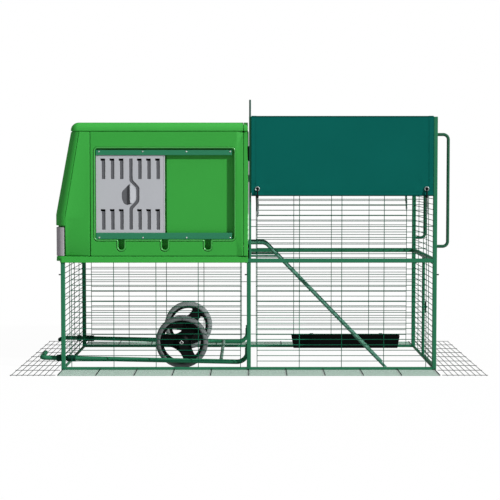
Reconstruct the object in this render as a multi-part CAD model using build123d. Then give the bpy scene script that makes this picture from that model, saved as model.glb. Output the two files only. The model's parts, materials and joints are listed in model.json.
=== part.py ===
from build123d import *
import os

# A movable poultry coop: a moulded house on a tube frame, with a welded mesh run beside and under it.
# X runs along the coop from the house to the run, Y from front to back, Z up. Origin: ground, centre.

# Frame
HALF_LENGTH = 1000      # X of the end posts
HALF_DEPTH = 500        # Y of the front and back posts
POST = 22               # square tube of posts and rails
TUBE_RADIUS = 3         # rounded corners of the square tube
BASE_RAIL = 14          # height of the ground rails
END_RAIL = 12           # width of the ground rails across the ends
WAIST_Z = 590           # centre of the waist rails that carry the house
RUN_TOP = 1362          # top of the run
UPRIGHT = 12            # slim uprights beside the house
UPRIGHT_X = 7
HALF = POST / 2
INNER = HALF_DEPTH - HALF
WAIST_LOW = WAIST_Z - HALF
WAIST_HIGH = WAIST_Z + HALF
POST_EDGE = HALF_LENGTH - HALF
UPRIGHT_EDGE = UPRIGHT_X + UPRIGHT / 2
ROOF_RAIL_X = 39        # roof rail at the house end, clear of the lift rod

# Welded mesh
WIRE = 3
ROW_PITCH = 29.3
COLUMN_PITCH = 227.7
LOWER_ROWS = [47 + ROW_PITCH * i for i in range(18)]
UPPER_ROWS = [627 + ROW_PITCH * i for i in range(24)]
PANEL_COLUMNS = [COLUMN_PITCH * i for i in (-2, -1, 0, 1, 2)]
LEVER_GAP_COLUMN = 430  # end wires that frame the gaps for the lifting tubes
LEVER_GAP_ROWS = 2
SKIRT_X = 1250
SKIRT_Y = 750
SKIRT_LIFT = 1
SKIRT_CROSS_PITCH = 200
SKIRT_END_PITCH = 187.5
MULLION = 16

# House
HOUSE_REAR = -1039
HOUSE_FRONT = -5
KNEE_Z = 822            # the rear leans inward above this height
EAVE_Z = 1284
EAVE_REAR = -951
RIDGE_Z = 1330
HOUSE_HALF = 511
WALL = 34
WALL_INNER = HOUSE_HALF - WALL
BASE_LOW = 580
FLOOR_Z = 613
WRAP_LOW, WRAP_HIGH = 54, 44    # how far the rear panel comes round the corners, at the knee and the eaves
REAR_ROUND = 38         # wide corners of the rear panel and the roof
CROWN_ROUND = 31        # rounded upper edges of the roof and the run-side panel
FRONT_PANEL = 23
REAR_THICK = 25
LIP = 4
SEAM = 3
SEAM_X = -848
BASE_REAR = -1035
BASE_ROUND = 14
BASE_STEP = 10          # the base is cut away under its rear edge
STAYS_Z = ((602, 645), (1129, 1204))
STAY_WIDTH = 12

# Side vents
RECESS_X = (-828, -79)
RECESS_Z = (701, 1192)
RECESS_DEPTH = 24
RECESS_ROUND = 14
WINDOW_X = (-800, -470)
WINDOW_Z = (759, 1122)
RAIL_X = (-820, -90)
RAIL_Z = (707, 1187)
RAIL_HEIGHT = 34
RAIL_SKIN = 5
RAIL_SET_BACK = 3       # the rails' faces lie this far behind the wall's face
GROOVE = 13             # how far the slider reaches behind each rail
SLIDER_WIDTH = 370
SLIDER_THICK = 12
SLIDER_PLAY = 2
SLOT_PITCH = 48.8
SLOT = (18.4, 110)
SLOT_SHIFT = 2.5
SLOT_OFFSET = 135.5
SLOT_DEPTH = 8.5        # slots are blind, apart from their mouths
SLOT_TURN = 7           # the mouth at a slot's top turns this far to one side
SLOT_MOUTH = 11.6
PULL_OUTER = (48, 74)   # half axes of the groove round the finger pull's fin
PULL_INNER = (31, 58)
PULL_HOLLOW = (46, 64)
FIN_EDGE = 5
DRAINS_X = (-682.5, -448.5, -217.5)
DRAIN_R = 19.5
DRAIN_Z = 662
SCREWS_X = (-802, -568, -334, -100)
SCREW_INSET = 8
SCREW_R, SCREW_HEIGHT = 5, 2.5

# House fittings
DRAWER_REAR = -1036
DRAWER_FACE_X = -989
DRAWER_Z = (615, 770)
DRAWER_ROUND = 34
DRAWER_SKIN = 20
TRAY_WALL = 4
TRAY_HALF = 470
TRAY_TOP = 680
GRIP_HALF = 75          # finger slot across the drawer's front
GRIP_Z = (700, 745)
GRIP_DEPTH = 14
NEST_X = (-985, -640)
NEST_Z = 686
NEST_SILL = 750
NEST_PLATE = 5
CHEEK_Y = (170, 460)
CHEEK_TOP = 900
ROOSTS_X = (-540, -400, -260, -120)
ROOST_Z = 711
ROOST_SECTION = (40, 22, 8)

# Pop door and ladder
POP_HOLE_Y = (-402, -130)
POP_HOLE_Z = (702, 1030)
POP_Y = (POP_HOLE_Y[0] + POP_HOLE_Y[1]) / 2
POP_DOOR_Z = (692, 1060)
POP_OVERLAP = 20        # the door covers the hole's edges by this much
POP_PLATE = 2
POP_PLAY = 0.4
CLAMP_HALF = 12         # block that ties the lift rod to the door
CLAMP_Z = (1010, 1050)
ROD_TOP = 1463
ROD_R = 5.3
GUIDE = (4, 8)          # depth, and half the width, of the door's guides
LADDER_Y = (-387, -145)
LADDER_TOP_Z = 679
LADDER_BEND_X = 91
LADDER_FOOT_X = 747     # where the ladder's line meets the ground
LADDER_BEND = 42
LADDER_R = 8
BRACE_Z = 609
BRACE_R = 6
RUNGS = 9
RUNG_R = 6
RUNG_DROP = 60          # height of the first rung below the ladder's top
RUNG_PITCH = 68

# Wheel gear
LEVER_Y = 465
LEVER_R = 12.5
PIVOT_X = -6
PIVOT_Z = 95
PIVOT_R = 6
LEVER_HEEL_Z = 37
LEVER_TOE = (-1123, 61.5)
LEVER_BENDS = (25, 58)
PEDAL = (155, 7)        # the lever's end turns inward: its length and rise
PEDAL_CAP = 4
LEVER_ABOVE_PIVOT = 43
CROSS_BAR_X = -152
CROSS_BAR_R = 9.5
SLEEVES_X = ((-1040, -1014), (-986, -938))
SLEEVE_WALL = 5.5
PIVOT_LUG = (15, 22)    # the pivot's lug: its reach and half its height
WHEEL_X = -364
WHEEL_R = 143
WHEEL_Y = 427
RIM_IN, RIM_OUT, RIM_HALF = 103, 117, 17
WEB_THICK = 14
HUB_R, HUB_LONG = 26, 44
LENS_R, LENS_NEAR = 97, 52  # arc on the hub side of each opening between the spokes
LENS_TURN = -5
TYRE_HALF, TYRE_SHOULDER = 19, 7
AXLE_R = 7
BRACKET_THICK = 6
BRACKET_R = 20
BRACKET_FOOT = (48, 95, 68, 8)  # offset along, drop, and size of the foot on the lever tube
NUT = (17, 8)
RUNNING_GAP = 0.05

# Run fittings
HANDLE_X = 1068
HANDLE_Z = (667, 1266)
HANDLE_R = 8.5
HANDLE_BEND = 27
BOLT_Z, BOLT_R, BOLT_REACH = 515, 3.5, 11
DOOR_BAR = 8
DOOR_GAP = 4
DOOR_SIDE_GAP = 3
DOOR_HINGE = (1007.3, -485.3)
HINGES_Z = (130, 460)
KNUCKLE_R, KNUCKLE_TALL, PIN_R = 2.8, 14, 1.4
LEAF_HALF = 2           # half the width of the leaf between post and hinge eye
LATCH_Z = 292
LATCH = (68, 15, 5)
LATCH_STUB_R = 5
COVER_LOW = 937
COVER_OUT = 513.5
COVER_THICK = 2
COVER_X = (13.8, 988.5)
EYELET_X = (46, 956)
EYELET_Z = 976
EYELET_R, EYELET_HOLE, EYELET_THICK = 13.5, 6, 2
HOOK_WIRE_Z = UPPER_ROWS[7]
HOOK_R, HOOK_STAND_OFF = 2.5, 13.5
TROUGH_X = (256, 906)
TROUGH_Y = (382, 487)
TROUGH_Z = (7, 83)
TROUGH_WALL, TROUGH_TAPER = 4, 12.5
TROUGH_HOOKS_X = (380, 800)
TROUGH_HOOK = (22, 3, 12)   # width, thickness and drop of a strip hook


def block(x, y, z):
    """A box between low and high pairs along X, Y and Z."""
    centre = [(low + high) / 2 for low, high in (x, y, z)]
    size = [high - low for low, high in (x, y, z)]
    return Pos(*centre) * Box(*size)


def square_tube(start, end, width=POST, height=POST):
    """A straight square tube along one axis, with rounded corners."""
    run = Vector(*end) - Vector(*start)
    side = Vector(0, 1, 0) if abs(run.Y) < abs(run.X) + abs(run.Z) else Vector(1, 0, 0)
    section = Plane(origin=start, x_dir=side, z_dir=run.normalized())
    return extrude(section * RectangleRounded(width, height, TUBE_RADIUS), run.length)


def round_tube(points, radius, bends=()):
    """A round bar along a line that turns through arcs."""
    path = FilletPolyline(*points, radius=list(bends)) if bends else Line(*points)
    return sweep(Plane(origin=path @ 0, z_dir=path % 0) * Circle(radius), path=path)


def rod_y(x, z, radius, y):
    """A round bar along Y between a low and a high value."""
    return Pos(x, (y[0] + y[1]) / 2, z) * Rot(90, 0, 0) * Cylinder(radius, y[1] - y[0])


def side_profile(points, y):
    """A prism with an outline in X and Z, between two values of Y."""
    face = Plane.XZ * make_face(Polyline(*points, close=True))
    return Pos(0, y[1], 0) * extrude(face, y[1] - y[0])


def both_sides(shape):
    """A front piece and its mirror image at the back."""
    return [shape, mirror(shape, about=Plane.XZ)]


def save(name, *shapes):
    """Write one node, as its separate solids."""
    solids = [solid for shape in shapes for solid in shape.solids()]
    export_step(Compound(solids), os.path.join("parts", name + ".step"))


# Facing planes: local X along the panel, local Y up it, local Z outward.
FRONT = Plane(origin=(0, -HALF_DEPTH, 0), x_dir=(1, 0, 0), z_dir=(0, -1, 0))
BACK = Plane(origin=(0, HALF_DEPTH, 0), x_dir=(1, 0, 0), z_dir=(0, -1, 0))
RUN_END = Plane(origin=(HALF_LENGTH, 0, 0), x_dir=(0, 1, 0), z_dir=(1, 0, 0))
HOUSE_END = Plane(origin=(-HALF_LENGTH, 0, 0), x_dir=(0, -1, 0), z_dir=(-1, 0, 0))


def wires(plane, columns, rows, out=1):
    """Welded mesh: columns (at, low, high) lie against the inside of rows (at, low, high)."""
    laid = []
    for at, low, high in columns:
        laid.append(block((at - WIRE / 2, at + WIRE / 2), (low, high), sorted((-out * WIRE, 0))))
    for at, low, high in rows:
        laid.append(block((low, high), (at - WIRE / 2, at + WIRE / 2), sorted((0, out * WIRE))))
    return [plane.location * wire for wire in laid]


def panel(plane, middle, edges, rise, rows, out=1):
    """A standard mesh panel: five columns about its middle, and evenly spaced rows."""
    columns = [(middle + offset, *rise) for offset in PANEL_COLUMNS]
    return wires(plane, columns, [(row, *edges) for row in rows], out)


def make_frame():
    """Posts, rails and the slim uprights beside the house."""
    for name, x, top in (
        ("house_end_posts", -HALF_LENGTH, WAIST_LOW),
        ("centre_posts", 0, WAIST_LOW),
        ("run_end_posts", HALF_LENGTH, RUN_TOP - 1),
    ):
        save(name, *both_sides(square_tube((x, -HALF_DEPTH, 0), (x, -HALF_DEPTH, top))))
    rail_z = BASE_RAIL / 2
    long_rails = []
    for x in (-HALF_LENGTH, 0):
        start = (x + HALF, -HALF_DEPTH, rail_z)
        end = (x + HALF_LENGTH - HALF, -HALF_DEPTH, rail_z)
        long_rails += both_sides(square_tube(start, end, POST, BASE_RAIL))
    end_rails = [
        square_tube((x, -INNER, rail_z), (x, INNER, rail_z), END_RAIL, BASE_RAIL)
        for x in (-HALF_LENGTH, HALF_LENGTH)
    ]
    save("base_rails", *long_rails, *end_rails)
    sides = square_tube((-HALF_LENGTH - HALF, -HALF_DEPTH, WAIST_Z), (POST_EDGE, -HALF_DEPTH, WAIST_Z))
    across = [
        square_tube((x, -INNER, WAIST_Z), (x, INNER, WAIST_Z)) for x in (-HALF_LENGTH, 0, HALF_LENGTH)
    ]
    save("waist_rails", *both_sides(sides), *across)
    roof_z = RUN_TOP - HALF
    sides = square_tube((UPRIGHT_EDGE, -HALF_DEPTH, roof_z), (POST_EDGE, -HALF_DEPTH, roof_z))
    across = [square_tube((x, -INNER, roof_z), (x, INNER, roof_z)) for x in (ROOF_RAIL_X, HALF_LENGTH)]
    save("roof_rails", *both_sides(sides), *across)
    low, high = (UPRIGHT_X, -HALF_DEPTH, WAIST_HIGH), (UPRIGHT_X, -HALF_DEPTH, RUN_TOP)
    save("slim_uprights", *both_sides(square_tube(low, high, UPRIGHT, UPRIGHT)))
    low, high = (HALF_LENGTH, 0, BASE_RAIL), (HALF_LENGTH, 0, WAIST_LOW)
    save("end_mullion", square_tube(low, high, MULLION, MULLION))
    bolt_y = -HALF_DEPTH - HALF + BOLT_R + 0.5
    bolts = []
    for x, way in ((-HALF_LENGTH, -1), (0, -1), (HALF_LENGTH, 1)):
        place = Plane(origin=(x + way * HALF, bolt_y, BOLT_Z), z_dir=(way, 0, 0))
        bolts += both_sides(extrude(place * RegularPolygon(BOLT_R, 6), BOLT_REACH))
    save("frame_bolts", *bolts)
    stay_x = (HOUSE_FRONT, UPRIGHT_X - UPRIGHT / 2)
    stay_y = (-HALF_DEPTH - STAY_WIDTH / 2, -HALF_DEPTH + STAY_WIDTH / 2)
    save("house_stays", *[side for z in STAYS_Z for side in both_sides(block(stay_x, stay_y, z))])


def make_mesh():
    """Mesh walls and roof of the run, and the skirts that lie on the ground."""
    lower = (BASE_RAIL, WAIST_LOW)
    upper = (WAIST_HIGH, RUN_TOP - POST)
    half = HALF_LENGTH / 2
    house_span = (-POST_EDGE, -HALF)
    run_span = (HALF, POST_EDGE)
    upper_span = (UPRIGHT_EDGE, POST_EDGE)
    for name, middle, span, rise, rows in (
        ("mesh_house_sides", -half, house_span, lower, LOWER_ROWS),
        ("mesh_run_lower", half, run_span, lower, LOWER_ROWS),
        ("mesh_run_upper", half, upper_span, upper, UPPER_ROWS),
    ):
        front = panel(FRONT, middle, span, rise, rows)
        back = panel(BACK, middle, span, rise, rows, out=-1)
        save(name, *front, *back)
    across = (-INNER, INNER)
    save("mesh_run_end_upper", *panel(RUN_END, 0, across, upper, UPPER_ROWS))
    half_end = (MULLION / 2, INNER)
    rows = [(row, *half_end) for row in LOWER_ROWS]
    save("mesh_run_end_lower", *wires(RUN_END, [(INNER / 2, *lower)], rows))
    short = (-LEVER_GAP_COLUMN - WIRE / 2, LEVER_GAP_COLUMN + WIRE / 2)
    offsets = (-LEVER_GAP_COLUMN, -COLUMN_PITCH, 0, COLUMN_PITCH, LEVER_GAP_COLUMN)
    rows = [(row, *(short if i < LEVER_GAP_ROWS else across)) for i, row in enumerate(LOWER_ROWS)]
    save("mesh_house_end", *wires(HOUSE_END, [(at, *lower) for at in offsets], rows))
    roof = Plane(origin=(0, 0, RUN_TOP - HALF))
    inside = (ROOF_RAIL_X + HALF, POST_EDGE)
    columns = [(half + offset, *across) for offset in PANEL_COLUMNS[1:]]
    roof_rows = [(ROW_PITCH * i, *inside) for i in range(-16, 17)]
    save("mesh_run_roof", *wires(roof, columns, roof_rows))
    ground = Plane(origin=(0, 0, SKIRT_LIFT + WIRE))
    edge = HALF_DEPTH + HALF
    crossings = [(SKIRT_CROSS_PITCH * i, -SKIRT_Y, -edge) for i in range(-5, 6)]
    lengths = [(-edge - ROW_PITCH * i, -HALF_LENGTH - WIRE / 2, HALF_LENGTH + WIRE / 2) for i in range(1, 9)]
    save("skirts_long", *[side for wire in wires(ground, crossings, lengths) for side in both_sides(wire)])
    start = HALF_LENGTH + HALF
    columns = [(start + ROW_PITCH * i, -SKIRT_Y, SKIRT_Y) for i in range(1, 9)]
    rows = [(SKIRT_END_PITCH * i, start, SKIRT_X) for i in range(-4, 5)]
    run_side = wires(ground, columns, rows)
    save("skirts_end", *run_side, *[mirror(wire, about=Plane.YZ) for wire in run_side])


def make_house():
    """The moulded house: base, walls, rear panel, front panel and roof, as separate shells."""
    outer_y = (-HOUSE_HALF - LIP, HOUSE_HALF + LIP)
    base = block((BASE_REAR, HOUSE_FRONT), outer_y, (BASE_LOW, FLOOR_Z))
    base -= block((-HALF_LENGTH - HALF, HOUSE_FRONT), (-HOUSE_HALF, HOUSE_HALF), (BASE_LOW, WAIST_HIGH))
    base -= block((BASE_REAR, -HALF_LENGTH - HALF), outer_y, (BASE_LOW, BASE_LOW + BASE_STEP))
    corners = base.edges().filter_by(Axis.Z).group_by(Axis.X)[0]
    save("house_base", fillet(corners, BASE_ROUND))

    wall_front = HOUSE_FRONT - FRONT_PANEL
    outline = [
        (HOUSE_REAR + WRAP_LOW, FLOOR_Z),
        (wall_front, FLOOR_Z),
        (wall_front, EAVE_Z),
        (EAVE_REAR + WRAP_HIGH, EAVE_Z),
        (HOUSE_REAR + WRAP_LOW, KNEE_Z),
    ]
    wall = side_profile(outline, (-HOUSE_HALF, -WALL_INNER))
    wall -= recess_cutter()
    wall -= block((SEAM_X - SEAM, SEAM_X), (-HOUSE_HALF, -HOUSE_HALF + SEAM), (FLOOR_Z, EAVE_Z))
    walls = both_sides(wall)
    save("house_wall_front", walls[0])
    save("house_wall_back", walls[1])

    rear = side_profile(rear_outline(), (-HOUSE_HALF, HOUSE_HALF))
    rear = fillet(rear.edges().filter_by(lambda edge: is_rear_corner(edge)), REAR_ROUND)
    rear -= side_profile(rear_outline(REAR_THICK), (-WALL_INNER, WALL_INNER))
    save("house_rear_panel", rear)

    roof = block((EAVE_REAR, wall_front), (-HOUSE_HALF, HOUSE_HALF), (EAVE_Z, RIDGE_Z))
    roof = fillet(roof.edges().filter_by(Axis.Z).group_by(Axis.X)[0], REAR_ROUND)
    upper = roof.faces().sort_by(Axis.Z)[-1].edges()
    rim = [edge for edge in upper if edge.center().X < wall_front - 1]
    save("house_roof", fillet(rim, CROWN_ROUND))

    face = block((wall_front, HOUSE_FRONT), (-HOUSE_HALF, HOUSE_HALF), (FLOOR_Z, RIDGE_Z))
    face = fillet(face.edges().filter_by(Axis.X).group_by(Axis.Z)[-1], CROWN_ROUND)
    save("house_run_wall", face - block((wall_front, HOUSE_FRONT), POP_HOLE_Y, POP_HOLE_Z))


def rear_outline(inset=0):
    """The leaning rear of the house seen from the side, moved in by the panel's thickness."""
    low = DRAWER_Z[1] + 2
    return [
        (HOUSE_REAR + inset, low),
        (HOUSE_REAR + inset, KNEE_Z),
        (EAVE_REAR + inset, EAVE_Z),
        (EAVE_REAR + WRAP_HIGH, EAVE_Z),
        (HOUSE_REAR + WRAP_LOW, KNEE_Z),
        (HOUSE_REAR + WRAP_LOW, low),
    ]


def is_rear_corner(edge):
    """True for the outer corners of the rear panel, straight and leaning."""
    ends = [edge @ 0, edge @ 1]
    lean = (EAVE_REAR - HOUSE_REAR) / (EAVE_Z - KNEE_Z)
    on_rear = [abs(p.X - HOUSE_REAR - lean * max(0, p.Z - KNEE_Z)) < 0.01 for p in ends]
    return all(on_rear) and abs(ends[0].Z - ends[1].Z) > 1


def recess_cutter():
    """The side vent's recess with its drain notches and the window behind the slider."""
    width, height = RECESS_X[1] - RECESS_X[0], RECESS_Z[1] - RECESS_Z[0]
    middle = ((RECESS_X[0] + RECESS_X[1]) / 2, (RECESS_Z[0] + RECESS_Z[1]) / 2)
    sketch = Pos(*middle) * RectangleRounded(width, height, RECESS_ROUND)
    for x in DRAINS_X:
        sketch += Pos(x, DRAIN_Z) * Circle(DRAIN_R)
        sketch += Pos(x, (DRAIN_Z + RECESS_Z[0]) / 2) * Rectangle(2 * DRAIN_R, RECESS_Z[0] - DRAIN_Z)
    pocket = Pos(0, RECESS_DEPTH - HOUSE_HALF, 0) * extrude(Plane.XZ * sketch, RECESS_DEPTH)
    return pocket + block(WINDOW_X, (-HOUSE_HALF, -WALL_INNER), WINDOW_Z)


def make_vents():
    """Rails screwed into each recess, with a slotted slider behind them."""
    floor = RECESS_DEPTH - HOUSE_HALF
    face = RAIL_SET_BACK - HOUSE_HALF
    lip = face + RAIL_SKIN
    top = [
        (face, RAIL_Z[1] - RAIL_HEIGHT),
        (face, RAIL_Z[1]),
        (floor, RAIL_Z[1]),
        (floor, RAIL_Z[1] - RAIL_HEIGHT + GROOVE),
        (lip, RAIL_Z[1] - RAIL_HEIGHT + GROOVE),
        (lip, RAIL_Z[1] - RAIL_HEIGHT),
    ]
    mid_z = (RAIL_Z[0] + RAIL_Z[1]) / 2
    rail = Plane.YZ * make_face(Polyline(*top, close=True))
    rail = Pos(RAIL_X[0], 0, 0) * extrude(rail, RAIL_X[1] - RAIL_X[0])
    lower = mirror(rail, about=Plane.XY.offset(mid_z))
    save("vent_rails_front", rail, lower)
    save("vent_rails_back", *[mirror(shape, about=Plane.XZ) for shape in (rail, lower)])
    screws = []
    for x in SCREWS_X:
        for z in (RAIL_Z[0] + SCREW_INSET, RAIL_Z[1] - SCREW_INSET):
            place = Plane(origin=(x, face, z), z_dir=(0, -1, 0))
            screws += both_sides(extrude(place * RegularPolygon(SCREW_R, 8), SCREW_HEIGHT))
    save("vent_screws", *screws)
    centre = (RAIL_X[0] + SLIDER_WIDTH / 2, lip + 0.5 + SLIDER_THICK, mid_z)
    placed = Plane(origin=centre, x_dir=(1, 0, 0), z_dir=(0, -1, 0)).location * vent_slider()
    for name, shape in zip(("vent_slider_front", "vent_slider_back"), both_sides(placed)):
        save(name, shape)


def vent_slider():
    """A slider lying on its back: blind slots with open mouths at their tops, and a finger pull."""
    height = RAIL_Z[1] - RAIL_Z[0] - 2 * (RAIL_HEIGHT - GROOVE + SLIDER_PLAY)
    slots, mouths = Sketch(), Sketch()
    for column in (-3, -2, -1, 1, 2, 3):
        x = column * SLOT_PITCH + SLOT_SHIFT
        for z in (-SLOT_OFFSET, SLOT_OFFSET):
            mouth_z = z + (SLOT[1] - SLOT_MOUTH) / 2
            mouth = Pos(x - SLOT_TURN / 2, mouth_z) * Rectangle(SLOT[0] + SLOT_TURN, SLOT_MOUTH)
            slots += Pos(x, z) * Rectangle(*SLOT) + mouth
            mouths += mouth
    channel = Pos(SLOT_SHIFT, 0) * Rectangle(SLOT[0], 2 * SLOT_OFFSET + SLOT[1])
    right_half = Pos(PULL_OUTER[0], 0) * Rectangle(2 * PULL_OUTER[0] - 2 * FIN_EDGE, 2 * PULL_OUTER[1])
    left_half = Pos(-PULL_OUTER[0], 0) * Rectangle(2 * PULL_OUTER[0] - 2 * FIN_EDGE, 2 * PULL_OUTER[1])
    slots += channel - Ellipse(*PULL_OUTER)
    slots += (Ellipse(*PULL_OUTER) - Ellipse(*PULL_INNER)) & right_half
    slots += Ellipse(*PULL_HOLLOW) & left_half
    slider = extrude(Rectangle(SLIDER_WIDTH, height), SLIDER_THICK)
    slider -= Pos(0, 0, SLIDER_THICK - SLOT_DEPTH) * extrude(slots, SLOT_DEPTH)
    return slider - extrude(mouths, SLIDER_THICK)


def make_house_fittings():
    """Droppings drawer, nest box, roost bars and the lifting pop door."""
    front = block((DRAWER_REAR, DRAWER_FACE_X), (-HOUSE_HALF, HOUSE_HALF), DRAWER_Z)
    front = fillet(front.edges().filter_by(Axis.Z).group_by(Axis.X)[0], DRAWER_ROUND)
    tray_x = (DRAWER_REAR + DRAWER_SKIN, HOUSE_FRONT - FRONT_PANEL - 12)
    front -= block((tray_x[0], DRAWER_FACE_X), (-WALL_INNER, WALL_INNER), DRAWER_Z)
    front -= block((DRAWER_REAR, DRAWER_REAR + GRIP_DEPTH), (-GRIP_HALF, GRIP_HALF), GRIP_Z)
    tray_low = DRAWER_Z[0] + 2
    tray = block(tray_x, (-TRAY_HALF, TRAY_HALF), (tray_low, TRAY_TOP))
    inside_x = (tray_x[0] + TRAY_WALL, tray_x[1] - TRAY_WALL)
    inside_y = (TRAY_WALL - TRAY_HALF, TRAY_HALF - TRAY_WALL)
    tray -= block(inside_x, inside_y, (tray_low + TRAY_WALL, TRAY_TOP))
    save("droppings_drawer", front + tray)

    across = (-WALL_INNER, WALL_INNER)
    screen_x = (NEST_X[1] - NEST_PLATE, NEST_X[1])
    nest = block(NEST_X, across, (NEST_Z, NEST_Z + NEST_PLATE))
    for end_x in ((NEST_X[0], NEST_X[0] + NEST_PLATE), screen_x):
        nest += block(end_x, across, (NEST_Z, NEST_SILL))
    cheeks = both_sides(block(screen_x, CHEEK_Y, (NEST_SILL, CHEEK_TOP)))
    save("nest_box", nest + cheeks[0] + cheeks[1])

    section = RectangleRounded(*ROOST_SECTION)
    bars = [
        Pos(x, 0, ROOST_Z) * Rot(90, 0, 0) * extrude(section, WALL_INNER, both=True) for x in ROOSTS_X
    ]
    save("roost_bars", *bars)

    plate_x = (HOUSE_FRONT + POP_PLAY, HOUSE_FRONT + POP_PLAY + POP_PLATE)
    door_y = (POP_HOLE_Y[0] - POP_OVERLAP, POP_HOLE_Y[1] + POP_OVERLAP)
    door = block(plate_x, door_y, POP_DOOR_Z)
    clamp = block((plate_x[1], UPRIGHT_EDGE), (POP_Y - CLAMP_HALF, POP_Y + CLAMP_HALF), CLAMP_Z)
    rod = Pos(UPRIGHT_X, POP_Y, (CLAMP_Z[0] + ROD_TOP) / 2) * Cylinder(ROD_R, ROD_TOP - CLAMP_Z[0])
    rod = fillet(rod.edges().sort_by(Axis.Z)[-1], ROD_R - 1.5)
    save("pop_door", door + (clamp - rod))
    save("pop_door_rod", rod)
    guides = []
    guide_z = (POP_DOOR_Z[0], EAVE_Z)
    for edge, way in ((door_y[0], -1), (door_y[1], 1)):
        channel = block((HOUSE_FRONT, HOUSE_FRONT + GUIDE[0]), (edge - GUIDE[1], edge + GUIDE[1]), guide_z)
        groove = sorted((edge - GUIDE[1] * way, edge + way))
        guides.append(channel - block((HOUSE_FRONT, plate_x[1] + 0.3), groove, guide_z))
    save("pop_door_guides", *guides)


def make_ladder():
    """The ladder from the pop door: two bent side rails with stays, and rungs."""

    def rail_x(z):
        return LADDER_FOOT_X - (LADDER_FOOT_X - LADDER_BEND_X) * z / LADDER_TOP_Z

    end_z = -2 * LADDER_R
    ground = block((0, HALF_LENGTH), (-HALF_DEPTH, HALF_DEPTH), (2 * end_z, SKIRT_LIFT))
    rails = []
    for y in LADDER_Y:
        top = (HOUSE_FRONT, y, LADDER_TOP_Z)
        bend = (LADDER_BEND_X, y, LADDER_TOP_Z)
        rail = round_tube([top, bend, (rail_x(end_z), y, end_z)], LADDER_R, [LADDER_BEND]) - ground
        stay = round_tube([(HOUSE_FRONT, y, BRACE_Z), (rail_x(BRACE_Z), y, BRACE_Z)], BRACE_R)
        rails.append(rail + stay)
    save("ladder_rails", *rails)
    rungs = []
    for i in range(RUNGS):
        z = LADDER_TOP_Z - RUNG_DROP - RUNG_PITCH * i
        rung = rod_y(rail_x(z), z, RUNG_R, LADDER_Y)
        rungs.append(rung - rails[0] - rails[1])
    save("ladder_rungs", *rungs)


def make_wheel_gear():
    """The foot lever that lowers two wheels: bent tubes, cross bar, brackets, axles and nuts."""
    slope = (LEVER_HEEL_Z - LEVER_TOE[1]) / (PIVOT_X - LEVER_TOE[0])

    def tube_z(x):
        return LEVER_HEEL_Z + slope * (x - PIVOT_X)

    long, rise = PEDAL
    toe = (LEVER_TOE[0], -LEVER_Y, LEVER_TOE[1])
    pedal = (LEVER_TOE[0], long - LEVER_Y, LEVER_TOE[1] + rise)
    cap_end = (LEVER_TOE[0], pedal[1] + PEDAL_CAP, pedal[2] + rise * PEDAL_CAP / long)
    heel = (PIVOT_X, -LEVER_Y, LEVER_HEEL_Z)
    top = (PIVOT_X, -LEVER_Y, PIVOT_Z + LEVER_ABOVE_PIVOT)
    bar = round_tube([pedal, toe, heel, top], LEVER_R, LEVER_BENDS)
    through = (-LEVER_Y - 2 * LEVER_R, -LEVER_Y + 2 * LEVER_R)
    tube = bar - rod_y(PIVOT_X, PIVOT_Z, PIVOT_R + RUNNING_GAP, through)
    save("lever_tubes", *both_sides(tube))
    cross = rod_y(CROSS_BAR_X, tube_z(CROSS_BAR_X), CROSS_BAR_R, (-LEVER_Y, LEVER_Y))
    save("lever_cross_bar", cross - bar - mirror(bar, about=Plane.XZ))
    sleeves = []
    for span in SLEEVES_X:
        ends = [(x, -LEVER_Y, tube_z(x)) for x in span]
        sleeves += both_sides(round_tube(ends, LEVER_R + SLEEVE_WALL) - bar)
    caps = both_sides(round_tube([pedal, cap_end], LEVER_R))
    save("lever_sleeves", *sleeves, *caps)
    reach, half_tall = PIVOT_LUG
    lug_y = (-INNER, -LEVER_Y - LEVER_R - 1)
    lug = block((PIVOT_X - reach, HALF), lug_y, (PIVOT_Z - half_tall, PIVOT_Z + half_tall))
    pin = rod_y(PIVOT_X, PIVOT_Z, PIVOT_R, (-INNER, -LEVER_Y + LEVER_R + 5.5))
    save("lever_pivots", *both_sides(lug + pin))

    axle_z = WHEEL_R + 0.3
    along, drop, *foot = BRACKET_FOOT
    outline = make_hull(Circle(BRACKET_R).edges() + (Pos(along, -drop) * Rectangle(*foot)).edges())
    plate_y = -LEVER_Y - BRACKET_THICK / 2
    plate_back = plate_y + BRACKET_THICK
    plate = Plane(origin=(WHEEL_X, plate_back, axle_z), x_dir=(1, 0, 0), z_dir=(0, -1, 0)).location
    bracket = plate * extrude(outline, BRACKET_THICK) - bar
    hub_end = HUB_LONG / 2 + 1
    bracket += rod_y(WHEEL_X, axle_z, AXLE_R, (plate_y, -WHEEL_Y + hub_end + 5))
    bracket += rod_y(WHEEL_X, axle_z, 2 * AXLE_R - 1, (plate_back, -WHEEL_Y - hub_end))
    save("wheel_brackets", *both_sides(bracket))
    nut = Plane(origin=(WHEEL_X, plate_y, axle_z), x_dir=(1, 0, 1), z_dir=(0, -1, 0)).location
    save("axle_nuts", *both_sides(nut * extrude(Rectangle(NUT[0], NUT[0]), NUT[1])))
    hub_plane = Plane(origin=(WHEEL_X, -WHEEL_Y, axle_z), x_dir=(1, 0, 0), z_dir=(0, -1, 0)).location
    for node, shape in (("wheel", wheel_core()), ("tyre", tyre_ring())):
        front, back = both_sides(hub_plane * shape)
        save(node + "_front", front)
        save(node + "_back", back)


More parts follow.
